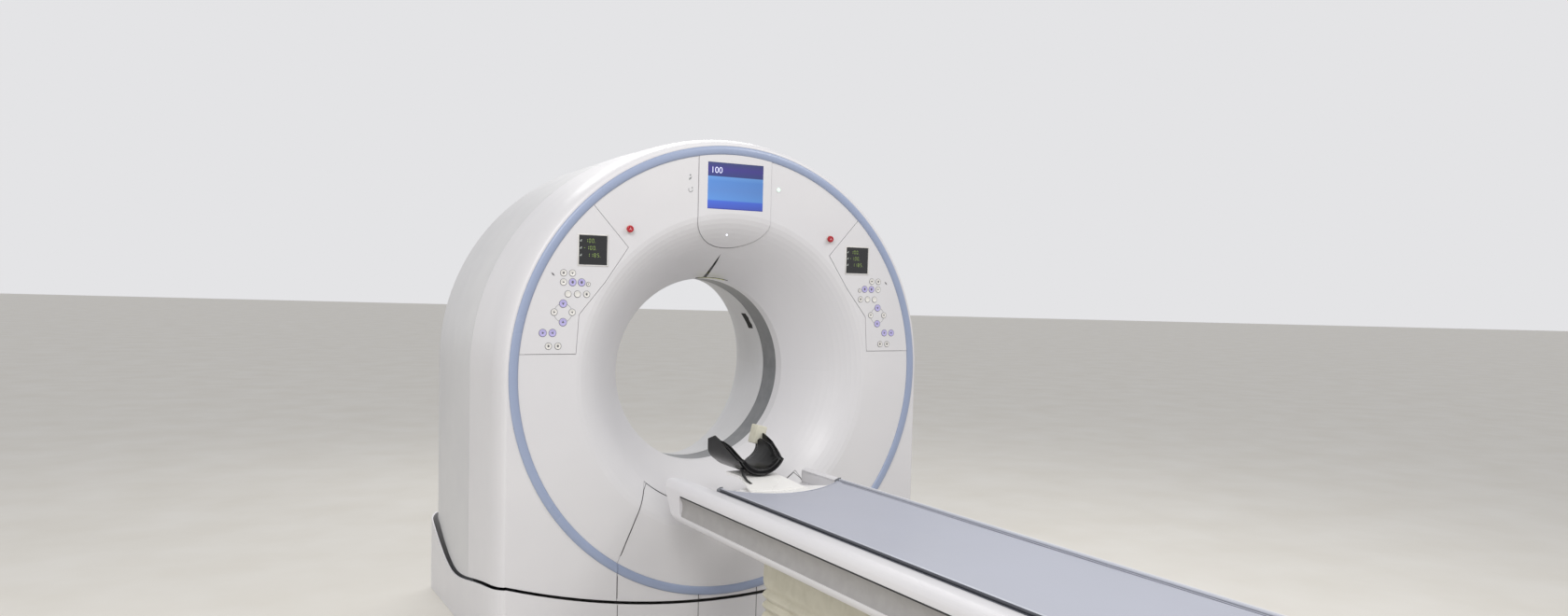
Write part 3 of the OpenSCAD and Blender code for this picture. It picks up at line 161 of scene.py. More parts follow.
for name, spot, aim, size, power in (
        ("ceiling_left", (-2.6, -2.2, 4.2), (-0.2, 0.4, 0.8), (2.6, 1.2), 95),
        ("ceiling_right", (2.4, -1.6, 4.2), (0.2, 0.6, 0.9), (2.4, 1.2), 62),
        ("ceiling_rear", (0.4, 3.6, 3.8), (0, 1.2, 1.0), (3.0, 1.2), 40),
        ("couch_fill", (-3.8, -1.4, 2.0), (-0.2, 0.7, 0.8), (2.4, 2.0), 20)):
    lamp_data = bpy.data.lights.new(name, "AREA")
    lamp_data.shape = "RECTANGLE"
    lamp_data.size, lamp_data.size_y = size
    lamp_data.energy = power
    lamp_data.color = (1.0, 0.985, 0.965)
    lamp = bpy.data.objects.new(name, lamp_data)
    lamp.location = spot
    lamp.rotation_euler = (Vector(aim) - Vector(spot)).to_track_quat("-Z", "Y").to_euler()
    scene.collection.objects.link(lamp)

# Base frame
# Plate and tube weldments under powder coat, in two greys: the frame that stands on the
# floor with its uprights, and the lighter tilting frame. The lift's outer parts match.


def dress(names, material):
    """Gives CAD nodes their finish."""
    for name in names:
        nodes[name].data.materials.clear()
        nodes[name].data.materials.append(material)


def powder_coat(name, colour, shade, worn):
    """Powder coat: a close 1.5 mm texture, thin patches of shade, and edges rubbed lighter."""
    material, tree, shader = new_finish(name)
    place = add(tree, "TexCoord", {})["Object"]
    patches = noise(tree, place, 6.0, 4.0)
    body = add(tree, "ValToRGB", {"Fac": patches}, ((0.35, shade), (0.65, colour)))
    shape = add(tree, "NewGeometry", {})
    rub = add(tree, "MapRange", {"Value": shape["Pointiness"], "From Min": 0.53, "From Max": 0.60})
    mixed = add(tree, "Mix", {"Factor": rub["Result"], "A": body["Color"], "B": linear(worn)},
                data_type="RGBA")
    bump = relief(tree, noise(tree, place, 650.0, 2.0), 0.25, 0.0003)
    feed(tree, shader, {"Base Color": mixed["Result"], "Normal": bump, "Roughness": 0.52})
    return material


dark_coat = powder_coat("Powder coat on steel, mid grey", "#8C8F94", "#83868B", "#B4B6B9")
pale_coat = powder_coat("Powder coat on steel, light grey", "#C2C4C7", "#BABCC0", "#DADBDD")
dress(["base_frame", "tilt_drive", "couch_base", "column_outer", "column_inner", "couch_frame"], dark_coat)
dress(["tilt_frame", "cover_brackets", "column_middle"], pale_coat)

# Rotor
# Bare and plated metals that only show where a cover is off: turned bearing races and
# balls, a machined plate with its units, slip rings with copper tracks, wound laminations.

# A wave texture's bands repeat every 0.314 m over its scale
WAVE = 0.314


def turned_metal(name, colour, shade, roughness, pitch):
    """Machined metal: fine tool marks in rings about the bore, at a pitch in metres."""
    material, tree, shader = new_finish(name)
    place = add(tree, "TexCoord", {})["Object"]
    centred = add(tree, "Mapping", {"Vector": place, "Location": (0, 0, -AXIS_Z)})
    marks = add(tree, "TexWave", {"Vector": centred["Vector"], "Scale": WAVE / pitch,
                                  "Distortion": 0.6, "Detail": 1.0},
                wave_type="RINGS", rings_direction="Y")
    film = noise(tree, place, 14.0, 4.0)
    tint = add(tree, "ValToRGB", {"Fac": film}, ((0.3, shade), (0.7, colour)))
    gloss = add(tree, "MapRange", {"Value": marks["Fac"], "To Min": roughness,
                                   "To Max": roughness + 0.12})
    bump = relief(tree, marks["Fac"], 0.15, 0.0002)
    feed(tree, shader, {"Base Color": tint["Color"], "Roughness": gloss["Result"], "Normal": bump,
                        "Metallic": 1.0})
    return material


def moulded(name, colour, shade, roughness, grain, specular=0.5):
    """Moulded plastic or a fine coat: spark-eroded grain of a stated size in metres, faint mottling."""
    material, tree, shader = new_finish(name)
    place = add(tree, "TexCoord", {})["Object"]
    mottle = noise(tree, place, 25.0, 3.0)
    tint = add(tree, "ValToRGB", {"Fac": mottle}, ((0.35, shade), (0.65, colour)))
    pits = add(tree, "TexVoronoi", {"Vector": place, "Scale": 1 / grain})
    bump = relief(tree, pits["Distance"], 0.2, grain / 6)
    haze = add(tree, "MapRange", {"Value": mottle, "To Min": roughness - 0.05,
                                  "To Max": roughness + 0.08})
    feed(tree, shader, {"Base Color": tint["Color"], "Roughness": haze["Result"], "Normal": bump,
                        "Specular IOR Level": specular})
    return material


dress(["bearing_outer_race", "bearing_inner_race", "bearing_balls"],
      turned_metal("Ground bearing steel", "#A6A8AC", "#96989C", 0.18, 0.0008))
dress(["rotor_plate", "xray_tube", "detector", "heat_exchanger"],
      turned_metal("Milled aluminium", "#BABCBE", "#AEB0B3", 0.34, 0.0015))
dress(["collimator", "hv_generator", "brush_block"],
      moulded("Painted cast housing, warm grey", "#6F7273", "#66696A", 0.48, 0.0012))
dress(["slip_ring"], turned_metal("Copper slip-ring tracks", "#B98A55", "#A87843", 0.26, 0.0040))
dress(["drive_stator", "drive_magnets"],
      moulded("Varnished laminations, dark brown", "#4C3C32", "#3C2F28", 0.42, 0.0010))

# Housing covers
# Vacuum-formed polyurethane skins, sprayed with a satin warm white lacquer.
# They clip to the frame, and the front face carries the panels and the display.


def lacquer(name, colour, shade, roughness):
    """Sprayed lacquer on a moulding: a faint cloudiness, a soft sheen and a fine orange peel."""
    material, tree, shader = new_finish(name)
    place = add(tree, "TexCoord", {})["Object"]
    clouds = noise(tree, place, 1.7, 3.0)
    tint = add(tree, "ValToRGB", {"Fac": clouds}, ((0.3, shade), (0.7, colour)))
    haze = noise(tree, place, 9.0, 2.0)
    gloss = add(tree, "MapRange", {"Value": haze, "From Min": 0.3, "From Max": 0.7,
                                   "To Min": roughness - 0.04, "To Max": roughness + 0.05})
    # Orange peel is about 2 mm across; 5 mm here, so that it shows in the gloss
    bump = relief(tree, noise(tree, place, 200.0, 1.0), 0.05, 0.0004)
    feed(tree, shader, {"Base Color": tint["Color"], "Roughness": gloss["Result"], "Normal": bump,
                        "IOR": 1.5})
    return material


white_cover = lacquer("Lacquered polyurethane moulding, warm white", "#DBDADC", "#D5D4D7", 0.34)
rear_white = lacquer("Lacquered polyurethane moulding, pale grey", "#D2D2D3", "#CBCBCD", 0.38)
dress(["front_shell", "front_cover", "lower_panel", "base_cover", "base_front_panel", "display_bezel",
       "left_panel", "right_panel"], white_cover)
dress(["rear_shell", "rear_cover"], rear_white)

# Accent ring
# A half-round moulding pressed into the groove round the front face, in lavender blue,
# with its lowest stretch on the lower panel.
accent_paint = lacquer("Sprayed accent lacquer, lavender blue", "#9AA6C1", "#94A0BB", 0.30)
dress(["accent_ring", "lower_accent"], accent_paint)

# Scan window and laser
# A smoke-grey film closes the scan slot round the bore, with a black patch on it that paints shade and
# reflection where the band looks darkest.
# Above the bore the slot of the front laser runs over the flare and spreads along the lip.


def pick_out(piece=None):
    """Leaves only this piece selected and active, or nothing selected before a new one is added."""
    bpy.ops.object.select_all(action="DESELECT")
    if piece:
        piece.select_set(True)
        bpy.context.view_layer.objects.active = piece


def leave_edit():
    """Turns all faces outwards and leaves edit mode."""
    bpy.ops.mesh.select_all(action="SELECT")
    bpy.ops.mesh.normals_make_consistent(inside=False)
    bpy.ops.object.mode_set(mode="OBJECT")


def settle(piece, name, body, material, spot=(0, 0, 0), turn=(0, 0, 0)):
    """Places a modelled piece, puts the place into its mesh, and gives it body, finish and name."""
    pick_out(piece)
    piece.location = Vector(piece.location) + Vector(spot)
    piece.rotation_euler = turn
    bpy.ops.object.transform_apply(location=True, rotation=True, scale=True)
    piece.name = piece.data.name = name
    piece.data.materials.clear()
    piece.data.materials.append(material)
    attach(piece, body)


def curve_through(points, closed, kind="POLY", **settings):
    """A curve through points, with its settings."""
    curve = bpy.data.curves.new("curve", "CURVE")
    for name, value in settings.items():
        setattr(curve, name, value)
    spline = curve.splines.new(kind)
    spline.points.add(len(points) - 1)
    for point, target in zip(spline.points, points):
        point.co = (*target, 1)
    spline.use_cyclic_u = closed
    made = bpy.data.objects.new("curve", curve)
    scene.collection.objects.link(made)
    return made


def meshed(curve):
    """A curve made into a mesh."""
    pick_out(curve)
    bpy.ops.object.convert(target="MESH")
    return bpy.context.object


def tube(points, radius, closed=False):
    """A round mesh tube through points, such as a welt, a bead or a thin lit line."""
    made = meshed(curve_through(points, closed, dimensions="3D", bevel_depth=radius, bevel_resolution=2))
    bpy.ops.object.shade_smooth()
    return made


def arc(x, y, z, radius, angles):
    """Points on an arc that faces the couch, about a place from the bore's axis, at angles in degrees."""
    turns = [math.radians(angle) for angle in angles]
    return [(x + radius * math.cos(a), y, AXIS_Z + z + radius * math.sin(a)) for a in turns]


def lamp_of(name, colour, strength, base):
    """A lens lit from behind: its glow falls off towards a grazing view."""
    material, tree, shader = new_finish(name)
    rim = add(tree, "LayerWeight", {"Blend": 0.35})
    glow = add(tree, "ValToRGB", {"Fac": rim["Facing"]}, ((0.0, colour), (0.9, base)))
    feed(tree, shader, {"Emission Color": glow["Color"], "Emission Strength": strength,
                        "Base Color": linear(base), "Roughness": 0.2})
    return material


def glass_black(name, colour, roughness):
    """Black printed glass: a deep base under a clear coat, with a trace of finger marks."""
    material, tree, shader = new_finish(name)
    place = add(tree, "TexCoord", {})["Object"]
    marks = noise(tree, place, 60.0, 6.0)
    gloss = add(tree, "MapRange", {"Value": marks, "From Min": 0.4, "From Max": 0.75,
                                   "To Min": roughness, "To Max": roughness + 0.14})
    feed(tree, shader, {"Base Color": linear(colour), "Roughness": gloss["Result"],
                        "Coat Weight": 0.6, "Coat Roughness": 0.05})
    return material


BORE_R = 0.392
LIP_Y, LIP_R, LINE_T = FACE_Y + 0.243, BORE_R + 0.0022, 0.0016
GLINT_Y, GLINT_R, GLINT_T = LIP_Y + 0.006, LIP_R - 0.0004, 0.0022
film = moulded("Scan window film, smoke grey", "#77797B", "#6C6E71", 0.34, 0.0009)
dress(["scan_window"], film)
laser_glass = glass_black("Laser window, black acrylic", "#101013", 0.12)
dress(["laser_window"], laser_glass)

lip_line = tube(arc(0, LIP_Y, 0, LIP_R, range(76, 99)), LINE_T)
settle(lip_line, "laser_lip_line", "gantry", laser_glass)
# A thin strip glowing yellow green along the lip is a painted glint, not a lamp.
glint = lamp_of("Painted glint along the laser lip, yellow green", "#D8DC96", 0.7, "#8A8A62")
lip_painted_glint = tube(arc(0, GLINT_Y, 0, GLINT_R, range(78, 97)), GLINT_T)
settle(lip_painted_glint, "laser_lip_glow", "gantry", glint)

# A black patch of a thin sleeve in the bore, between two heights over the axis, paints shade and reflection
# on the scan band
SLEEVE_Y, SLEEVE_W, SLEEVE_T = FACE_Y + 0.46, 0.14, 0.0006
PATCH_LOW, PATCH_HIGH = 0.168, 0.236
pick_out()
bpy.ops.mesh.primitive_cylinder_add(vertices=360, radius=BORE_R - SLEEVE_T, depth=SLEEVE_W,
                                    end_fill_type="NOTHING", location=(0, SLEEVE_Y, AXIS_Z),
                                    rotation=(math.pi / 2, 0, 0))
patch = bpy.context.object
bpy.ops.object.transform_apply(location=True, rotation=True, scale=True)
bpy.ops.object.mode_set(mode="EDIT")
for cut, across, inner in (((0, 0, AXIS_Z + PATCH_LOW), (0, 0, 1), True),
                           ((0, 0, AXIS_Z + PATCH_HIGH), (0, 0, 1), False),
                           ((0, 0, 0), (1, 0, 0), True)):
    bpy.ops.mesh.select_all(action="SELECT")
    bpy.ops.mesh.bisect(plane_co=cut, plane_no=across, clear_inner=inner, clear_outer=not inner)
leave_edit()
bpy.ops.object.shade_smooth()
thick = patch.modifiers.new("thick", "SOLIDIFY")
thick.thickness = SLEEVE_T
thick.offset = 0
bpy.ops.object.modifier_apply(modifier="thick")
# Black sheet: painted shade and reflection on the scan band
bore_shade_black = moulded("Black sheet painting shade in the bore", "#0A0A0B", "#060607", 0.5, 0.0010, specular=0.08)
settle(patch, "bore_painted_shade_patch", "gantry", bore_shade_black)

# Display
# A backlit screen behind glass in its white bezel, switched on: a dark band with a white
# figure over blue fields. A pilot lamp sits under it and another lamp beside it.
screen_low, screen_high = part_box("display_screen")
screen_picture, tree, shader = new_finish("Backlit display picture, blue fields")
place = add(tree, "TexCoord", {})["Object"]
axes = add(tree, "SeparateXYZ", {"Vector": place})
height = add(tree, "MapRange", {"Value": axes["Z"], "From Min": screen_low.z,
                                "From Max": screen_high.z})
fields = add(tree, "ValToRGB", {"Fac": height["Result"]}, (
    (0.0, "#41479E"), (0.03, "#4A60C8"), (0.17, "#4C6FDE"), (0.20, "#639AE4"), (0.40, "#6292DA"),
    (0.60, "#5E92DC"), (0.695, "#6CA2E6"), (0.705, "#3C4684"), (0.86, "#473F92"), (1.0, "#414A7C")))
across = add(tree, "MapRange", {"Value": axes["X"], "From Min": screen_low.x,
                                "From Max": screen_high.x, "To Min": 1.05, "To Max": 0.86})
dimmed = add(tree, "Mix", {"Factor": 1.0, "A": fields["Color"], "B": across["Result"]},
             data_type="RGBA", blend_type="MULTIPLY")
feed(tree, shader, {"Emission Color": dimmed["Result"], "Emission Strength": 0.92,
                    "Base Color": linear("#0C0E14"), "Roughness": 0.16})
dress(["display_screen"], screen_picture)

FACING = (math.pi / 2, 0, 0)
FIGURE_H, STROKE_TRIM = 0.035, -0.0003
FIGURE_AT = (-0.112, screen_low.y - 0.0006, screen_low.z + 0.142)
figure_white = lamp_of("Display figure, white", "#E6E8F6", 0.80, "#B8BCD6")
pick_out()
bpy.ops.object.text_add()
figure = bpy.context.object
figure.data.body = "100"
figure.data.size = FIGURE_H
figure.data.offset = STROKE_TRIM
bpy.ops.object.convert(target="MESH")
settle(figure, "display_figure", "gantry", figure_white, FIGURE_AT, FACING)


def turned(profile, steps=40):
    """A body of revolution about +Z from (radius, height) pairs, closed at both ends."""
    pick_out()
    radius, height = profile[0]
    bpy.ops.mesh.primitive_circle_add(vertices=steps, radius=radius, fill_type="NGON",
                                      location=(0, 0, height))
    made = bpy.context.object
    bpy.ops.object.transform_apply(location=True)
    bpy.ops.object.mode_set(mode="EDIT")
    for wide, tall in profile[1:]:
        bpy.ops.mesh.extrude_region_move(TRANSFORM_OT_translate={"value": (0, 0, tall - height)})
        bpy.ops.transform.resize(value=(wide / radius, wide / radius, 1), center_override=(0, 0, tall))
        radius, height = wide, tall
    leave_edit()
    bpy.ops.object.shade_smooth_by_angle(angle=math.radians(40))
    return made


PILOT_AT, PILOT_R = (-0.036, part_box("display_bezel")[0].y, AXIS_Z + 0.564), 0.004
READY_AT, READY_R = (0.199, FACE_Y, AXIS_Z + 0.759), 0.0080
pilot_glow = lamp_of("Pilot lamp lens, white", "#F4F6FF", 1.0, "#C4C8D2")
ready_glow = lamp_of("Ready lamp lens, pale green", "#DDF3E6", 0.75, "#B4D8C4")
for name, spot, size, glow in (("display_pilot_lamp", PILOT_AT, PILOT_R, pilot_glow),
                               ("ready_lamp", READY_AT, READY_R, ready_glow)):
    lens = turned([(size, -0.001), (size, 0.0006), (size * 0.9, 0.0014), (size * 0.5, 0.0019),
                   (size * 0.1, 0.002)])
    settle(lens, name, "gantry", glow, spot, FACING)
ring = turned([(0.0125, -0.001), (0.0125, 0.0008), (0.0115, 0.0012), (0.0098, 0.0009), (0.0098, -0.0004)])
settle(ring, "ready_lamp_ring", "gantry", white_cover, READY_AT, FACING)

# Printed marks beside the display: a lying figure and a turning arrow, in faint grey
mark_grey = moulded("Screen print, cool grey", "#8F9394", "#86898B", 0.5, 0.0008)


def flat_shape(corners, size, spot, stretch=(1, 1), spin=0):
    """A thin printed shape on the front: a regular outline, stretched and turned, at local x and z."""
    pick_out()
    bpy.ops.mesh.primitive_circle_add(vertices=corners, radius=size, fill_type="NGON")
    made = bpy.context.object
    made.scale = (stretch[0], stretch[1], 1)
    bpy.ops.object.transform_apply(scale=True)
    made.rotation_euler = (math.pi / 2, spin, 0)
    made.location = (spot[0], spot[1], AXIS_Z + spot[2])
    bpy.ops.object.transform_apply(location=True, rotation=True)
    return made


def joined(pieces):
    """Several small pieces as one object."""
    pick_out(pieces[0])
    for piece in pieces:
        piece.select_set(True)
    bpy.ops.object.join()
    return bpy.context.object


PRINT_GAP = 0.0004
PRINT_Y = FACE_Y - PRINT_GAP
lying_figure = joined([
    flat_shape(20, 0.0035, (-0.1995, PRINT_Y, 0.791)),
    flat_shape(4, 0.0050, (-0.1995, PRINT_Y, 0.778), (0.8, 2.0), math.pi / 4),
    flat_shape(3, 0.0045, (-0.1905, PRINT_Y, 0.742), (1, 1), 0.5)])
settle(lying_figure, "display_side_marks", "gantry", mark_grey)
turn_mark = tube(arc(-0.197, PRINT_Y, 0.734, 0.0085, range(150, 361, 15)), radius=0.0010)
settle(turn_mark, "turning_arrow_mark", "gantry", mark_grey)

# Control panels
# Mirrored panels either side of the display. Each has a black readout in a white frame, with
# three rows of green segments, and dished silicone keys, six of them lit from behind.
readout_glass = glass_black("Readout glass, black", "#08090B", 0.10)
dress(["left_readout", "right_readout"], readout_glass)
segment_green = lamp_of("Readout segments, yellow green", "#A3BC66", 0.85, "#35421E")
symbol_white = lamp_of("Readout symbols, white", "#C9CFCB", 0.55, "#50544F")
key_white = moulded("Silicone key, white", "#E4E2DE", "#DAD8D4", 0.42, 0.0006)
key_lit = lamp_of("Silicone key, lit violet", "#ABA4DE", 0.20, "#A7A1C9")
key_rim = moulded("Rubber key seal, dark grey", "#77787C", "#6A6B70", 0.5, 0.0006)
key_mark = moulded("Key print, dark grey", "#6B6A6E", "#5E5D61", 0.5, 0.0006)
CORNERS = ((-1, -1), (1, -1), (1, 1), (-1, 1))
# Bars of a seven-segment digit: place across and up, upright or not, and the signs that use it
BARS = ((0, 1, False, "02356789"), (-0.5, 0.5, True, "045689"), (0.5, 0.5, True, "01234789"),
        (0, 0, False, "-2345689"), (-0.5, -0.5, True, "0268"), (0.5, -0.5, True, "013456789"),
        (0, -1, False, "0235689"))
READOUT_ROWS = (("100.", -0.026, 0.035), ("-100.", -0.034, 0.008), ("1185.", -0.018, -0.019))
DIGIT_W, DIGIT_H, DIGIT_PITCH, DIGIT_LEAN = 0.0062, 0.0068, 0.0125, 0.08
BAR_HALF, BAR_SLIM = DIGIT_H / 2 - 0.0006, 0.34
DOT_R, DOT_BACK = 0.0011, 0.0045
FRAME_R, FRAME_GAP = 0.0026, 0.0032
for side in ("left", "right"):
    low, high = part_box(side + "_readout")
    centre = (low + high) / 2
    glass_y = low.y - PRINT_GAP
    up_z = centre.z - AXIS_Z
    bars = []
    symbols = []
    for text, start, row in READOUT_ROWS:
        column = 0
        for letter in text:
            x, z = centre.x + start + column * DIGIT_PITCH, up_z + row
            if letter == ".":
                bars.append(flat_shape(4, DOT_R, (x - DOT_BACK, glass_y, z - DIGIT_H), (1, 1), math.pi / 4))
                continue
            for dx, dz, upright, users in BARS:
                if letter in users:
                    spin = math.pi / 2 + DIGIT_LEAN if upright else 0.0
                    bars.append(flat_shape(6, BAR_HALF, (x + dx * DIGIT_W, glass_y, z + dz * DIGIT_H),
                                           (1, BAR_SLIM), spin))
            column += 1
        symbols.append(flat_shape(20, 0.0021, (centre.x - 0.0465, glass_y, up_z + row + 0.002)))
        symbols.append(flat_shape(4, 0.0040, (centre.x - 0.0490, glass_y, up_z + row - 0.002), (1.3, 0.6)))
    settle(joined(bars), side + "_readout_digits", "gantry", segment_green)
    settle(joined(symbols), side + "_readout_symbols", "gantry", symbol_white)
    half = (high.x - low.x) / 2 + FRAME_GAP
    edge = [(centre.x + sx * half, low.y - 0.0002, centre.z + sz * half) for sx, sz in CORNERS]
    settle(tube(edge, FRAME_R, closed=True), side + "_readout_frame", "gantry", key_white)

# Places of one panel's keys from the bore axis, right-hand side: x, z, size, mark and light
KEYS = (
    (0.706, 0.394, 1.0, "dot", False), (0.672, 0.394, 1.0, "up", False),
    (0.706, 0.360, 1.0, "moon", False), (0.671, 0.360, 1.15, "dot", True), (0.636, 0.360, 1.15, "dot", True),
    (0.610, 0.354, 0.6, "up", False),
    (0.688, 0.316, 1.0, "", False), (0.652, 0.316, 1.0, "", False), (0.616, 0.316, 1.0, "dot", False),
    (0.706, 0.280, 1.2, "up", True), (0.740, 0.248, 1.0, "out", False), (0.671, 0.248, 1.0, "in", False),
    (0.706, 0.211, 1.2, "down", True),
    (0.782, 0.171, 1.15, "out", True), (0.745, 0.171, 1.15, "in", True),
    (0.760, 0.122, 1.0, "dot", False), (0.724, 0.122, 1.0, "dot", False))
SIDES = (("left", -1), ("right", 1))
KEY_R, RIM_GAP, RIM_R = 0.0115, 0.0009, 0.0010
ARROW_SIZE, DOT_SIZE, MARK_DEPTH = 0.0050, 0.0038, 0.0011
ARROWS_X, ARROWS_Z, ARROWS_R, TIE_R = 0.706, 0.246, 0.0345, 0.0007
TURNS = {"up": math.pi, "down": 0.0, "out": -math.pi / 2, "in": math.pi / 2}
ROUND = range(0, 360, 10)
key_pattern = turned([(KEY_R, 0.0002), (KEY_R, 0.0014), (KEY_R * 0.95, 0.0021), (KEY_R * 0.87, 0.0023),
                      (KEY_R * 0.78, 0.0019), (KEY_R * 0.6, 0.0010), (KEY_R * 0.3, 0.0006),
                      (KEY_R * 0.05, 0.0005)])
for side, sign in SIDES:
    panel_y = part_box(side + "_panel")[0].y
    mark_y = panel_y - MARK_DEPTH
    printed = []
    rims = []
    for number, (x, z, size, mark, lighted) in enumerate(KEYS, 1):
        pick_out(key_pattern)
        bpy.ops.object.duplicate()
        key = bpy.context.object
        key.scale = (size, size, 1)
        settle(key, f"{side}_key_{number:02d}", "gantry", key_lit if lighted else key_white,
               (sign * x, panel_y, AXIS_Z + z), FACING)
        if number == 1:
            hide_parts(side + "_keys")
        rims.append(tube(arc(sign * x, panel_y, z, KEY_R * size + RIM_GAP, ROUND), RIM_R, closed=True))
        if mark in TURNS:
            spin = TURNS[mark] * (sign if mark in ("out", "in") else 1)
            printed.append(flat_shape(3, ARROW_SIZE * size, (sign * x, mark_y, z), (1, 1), spin))
        elif mark:
            tall = 1.25 if mark == "dot" else 0.6
            printed.append(flat_shape(20, DOT_SIZE * size, (sign * x, mark_y, z), (1.0, tall)))
    # A little handset beside the first row, and the ring that ties the four arrow keys
    printed.append(flat_shape(4, 0.0050, (sign * 0.746, panel_y - 0.0003, 0.388), (2.0, 0.7), math.pi / 4))
    settle(joined(printed), side + "_key_marks", "gantry", key_mark)
    settle(joined(rims), side + "_key_rims", "gantry", key_rim)
    tie = tube(arc(sign * ARROWS_X, panel_y, ARROWS_Z, ARROWS_R, ROUND), TIE_R, closed=True)
    settle(tie, side + "_arrow_ring", "gantry", mark_grey)
bpy.data.objects.remove(key_pattern)

# Stop buttons
# A red mushroom head in a pale collar each side. The head is dished, with pale turning arrow marks
# printed in the dish round a pale disc that paints a glint, and it rides on the button's own body.
stop_red = moulded("Polished ABS, signal red", "#B2202C", "#A51B27", 0.22, 0.0008)
stop_print_and_glint = moulded("Pale pink print and painted glint", "#E6B9BC", "#DDAEB2", 0.35, 0.0008)
dress(["estop_collars"], moulded("Moulded ABS, off-white", "#E2E1DE", "#D8D7D3", 0.36, 0.0008))
STEM_R, DISH_UP, MARK_R = 0.0068, 0.0020, 0.0044
for side in ("left", "right"):
    low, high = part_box(side + "_estop")
    radius = (high.x - low.x) / 2
    centre = (low + high) / 2
    crown = high.y - low.y
    head = turned([(STEM_R, 0), (STEM_R, crown - 0.0095), (radius, crown - 0.0090), (radius, crown - 0.004),
                   (radius * 0.96, crown - 0.0018), (radius * 0.84, crown - 0.0004), (radius * 0.68, crown),
                   (radius * 0.52, crown - 0.0006), (radius * 0.44, crown - 0.0022),
                   (radius * 0.05, crown - 0.0026)], steps=48)
    settle(head, side + "_stop_head", side + "_stop", stop_red,
           (centre.x, high.y, centre.z), FACING)
    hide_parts(side + "_estop")
    dish = low.y + DISH_UP
    # The pale disc in the middle paints a glint; the three arrow marks round it are print.
    print_and_glint = [flat_shape(20, 0.0022, (centre.x, dish, centre.z - AXIS_Z))]
    for angle in (90, 210, 330):
        a = math.radians(angle)
        spot = (centre.x + MARK_R * math.cos(a), dish, centre.z - AXIS_Z + MARK_R * math.sin(a))
        print_and_glint.append(flat_shape(3, 0.0021, spot, (1, 1.3), -a))
    settle(joined(print_and_glint), side + "_stop_print_and_glint", side + "_stop", stop_print_and_glint)

# Rear fasteners
# Quarter-turn heads hold the rear cover to the frame. Each is a zinc-plated dished head with a
# coin slot painted as a dark line of shade, pressed flush against the lacquer so that a technician can open
# the cover.
plated = turned_metal("Zinc-plated steel head", "#A9ABAE", "#9C9EA2", 0.28, 0.0006)
slot_painted_shade = moulded("Dark line painting a coin slot's shade", "#2A2A2C", "#202022", 0.6, 0.0008)
rear_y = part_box("rear_cover")[1].y
FASTENERS_R, SLOT_HALF = 0.80, 0.0052
for number, angle in enumerate((24, 57, 90, 123, 156, 205, 335), 1):
    turn = math.radians(angle)
    start = (FASTENERS_R * math.cos(turn), rear_y + 0.5, AXIS_Z + FASTENERS_R * math.sin(turn))
    spot, facing = nodes["rear_cover"].ray_cast(start, (0, -1, 0))[1:3]
    lean = facing.to_track_quat("Z", "Y").to_euler()
    head = turned([(0.0105, -0.0020), (0.0105, 0.0010), (0.0098, 0.0018), (0.0085, 0.0020),
                   (0.0060, 0.0014), (0.0010, 0.0012)])
    settle(head, f"rear_fastener_{number}", "gantry", plated, spot, lean)
    # The slot is not cut: a dark line on the head paints its shade.
    cut = tube([(-SLOT_HALF, 0, 0.0018), (0, 0, 0.0016), (SLOT_HALF, 0, 0.0018)], 0.0007)
    settle(cut, f"rear_fastener_slot_{number}", "gantry", slot_painted_shade, spot, lean)

# Base joints
# The base's front panel is made in three parts. Fine black lines paint the shade in the joints
# where they meet, and another runs round the lower front panel above them.
seam_shade_black = moulded("Black line painting seam shade", "#232325", "#1B1B1D", 0.6, 0.0008)
SEAM_R = 0.0014
panel_low, panel_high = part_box("base_front_panel")
for side, sign in SIDES:
    for name, x in (("middle", 0.132), ("outer", 0.4768)):
        seam = tube([(sign * x, panel_low.y + 0.0004, z)
                     for z in (0.004, 0.08, panel_high.z - 0.004)], SEAM_R)
        settle(seam, f"{side}_base_joint_{name}", "stand", seam_shade_black)


LONGEST, SHORTEST = 0.064, 0.0003


def edge_of_panel(x, z, step_x, step_z):
    """The point on the lower front panel's edge, found from a point on it by going out step by step."""
    spot = None
    size = LONGEST
    while size > SHORTEST:
        ahead_x, ahead_z = x + size * step_x, z + size * step_z
        found, hit = nodes["lower_panel"].ray_cast((ahead_x, 0, ahead_z), (0, 1, 0))[:2]
        if found:
            x, z, spot = ahead_x, ahead_z, hit
        else:
            size /= 2
    return spot + Vector((0, -0.0006, 0))


# A black tube round the lower front panel's edge paints the shade in its joint.
FLANK_X, CREST_X, CREST_Z, SEAM_SHADE_R = 0.33, 0.338, 0.44, 0.0012
front_low, front_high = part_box("lower_panel")
heights = [front_low.z + 0.048 + (front_high.z - front_low.z - 0.076) * i / 24 for i in range(25)]
flank = [edge_of_panel(-FLANK_X, z, -1, 0) for z in heights]
crest = [edge_of_panel(CREST_X * (i / 14 - 1), CREST_Z, 0, 1) for i in range(29)]
outline = flank + crest + [Vector((-spot.x, spot.y, spot.z)) for spot in reversed(flank)]
settle(tube(outline, SEAM_SHADE_R), "lower_panel_seam_shade", "gantry", seam_shade_black)

# Couch lift and bellows
# Coated cloth bellows hide the lift's column. The couch stands part-way up, so the top of
# the cloth hangs nearly smooth and the pleats bunch above the plinth.


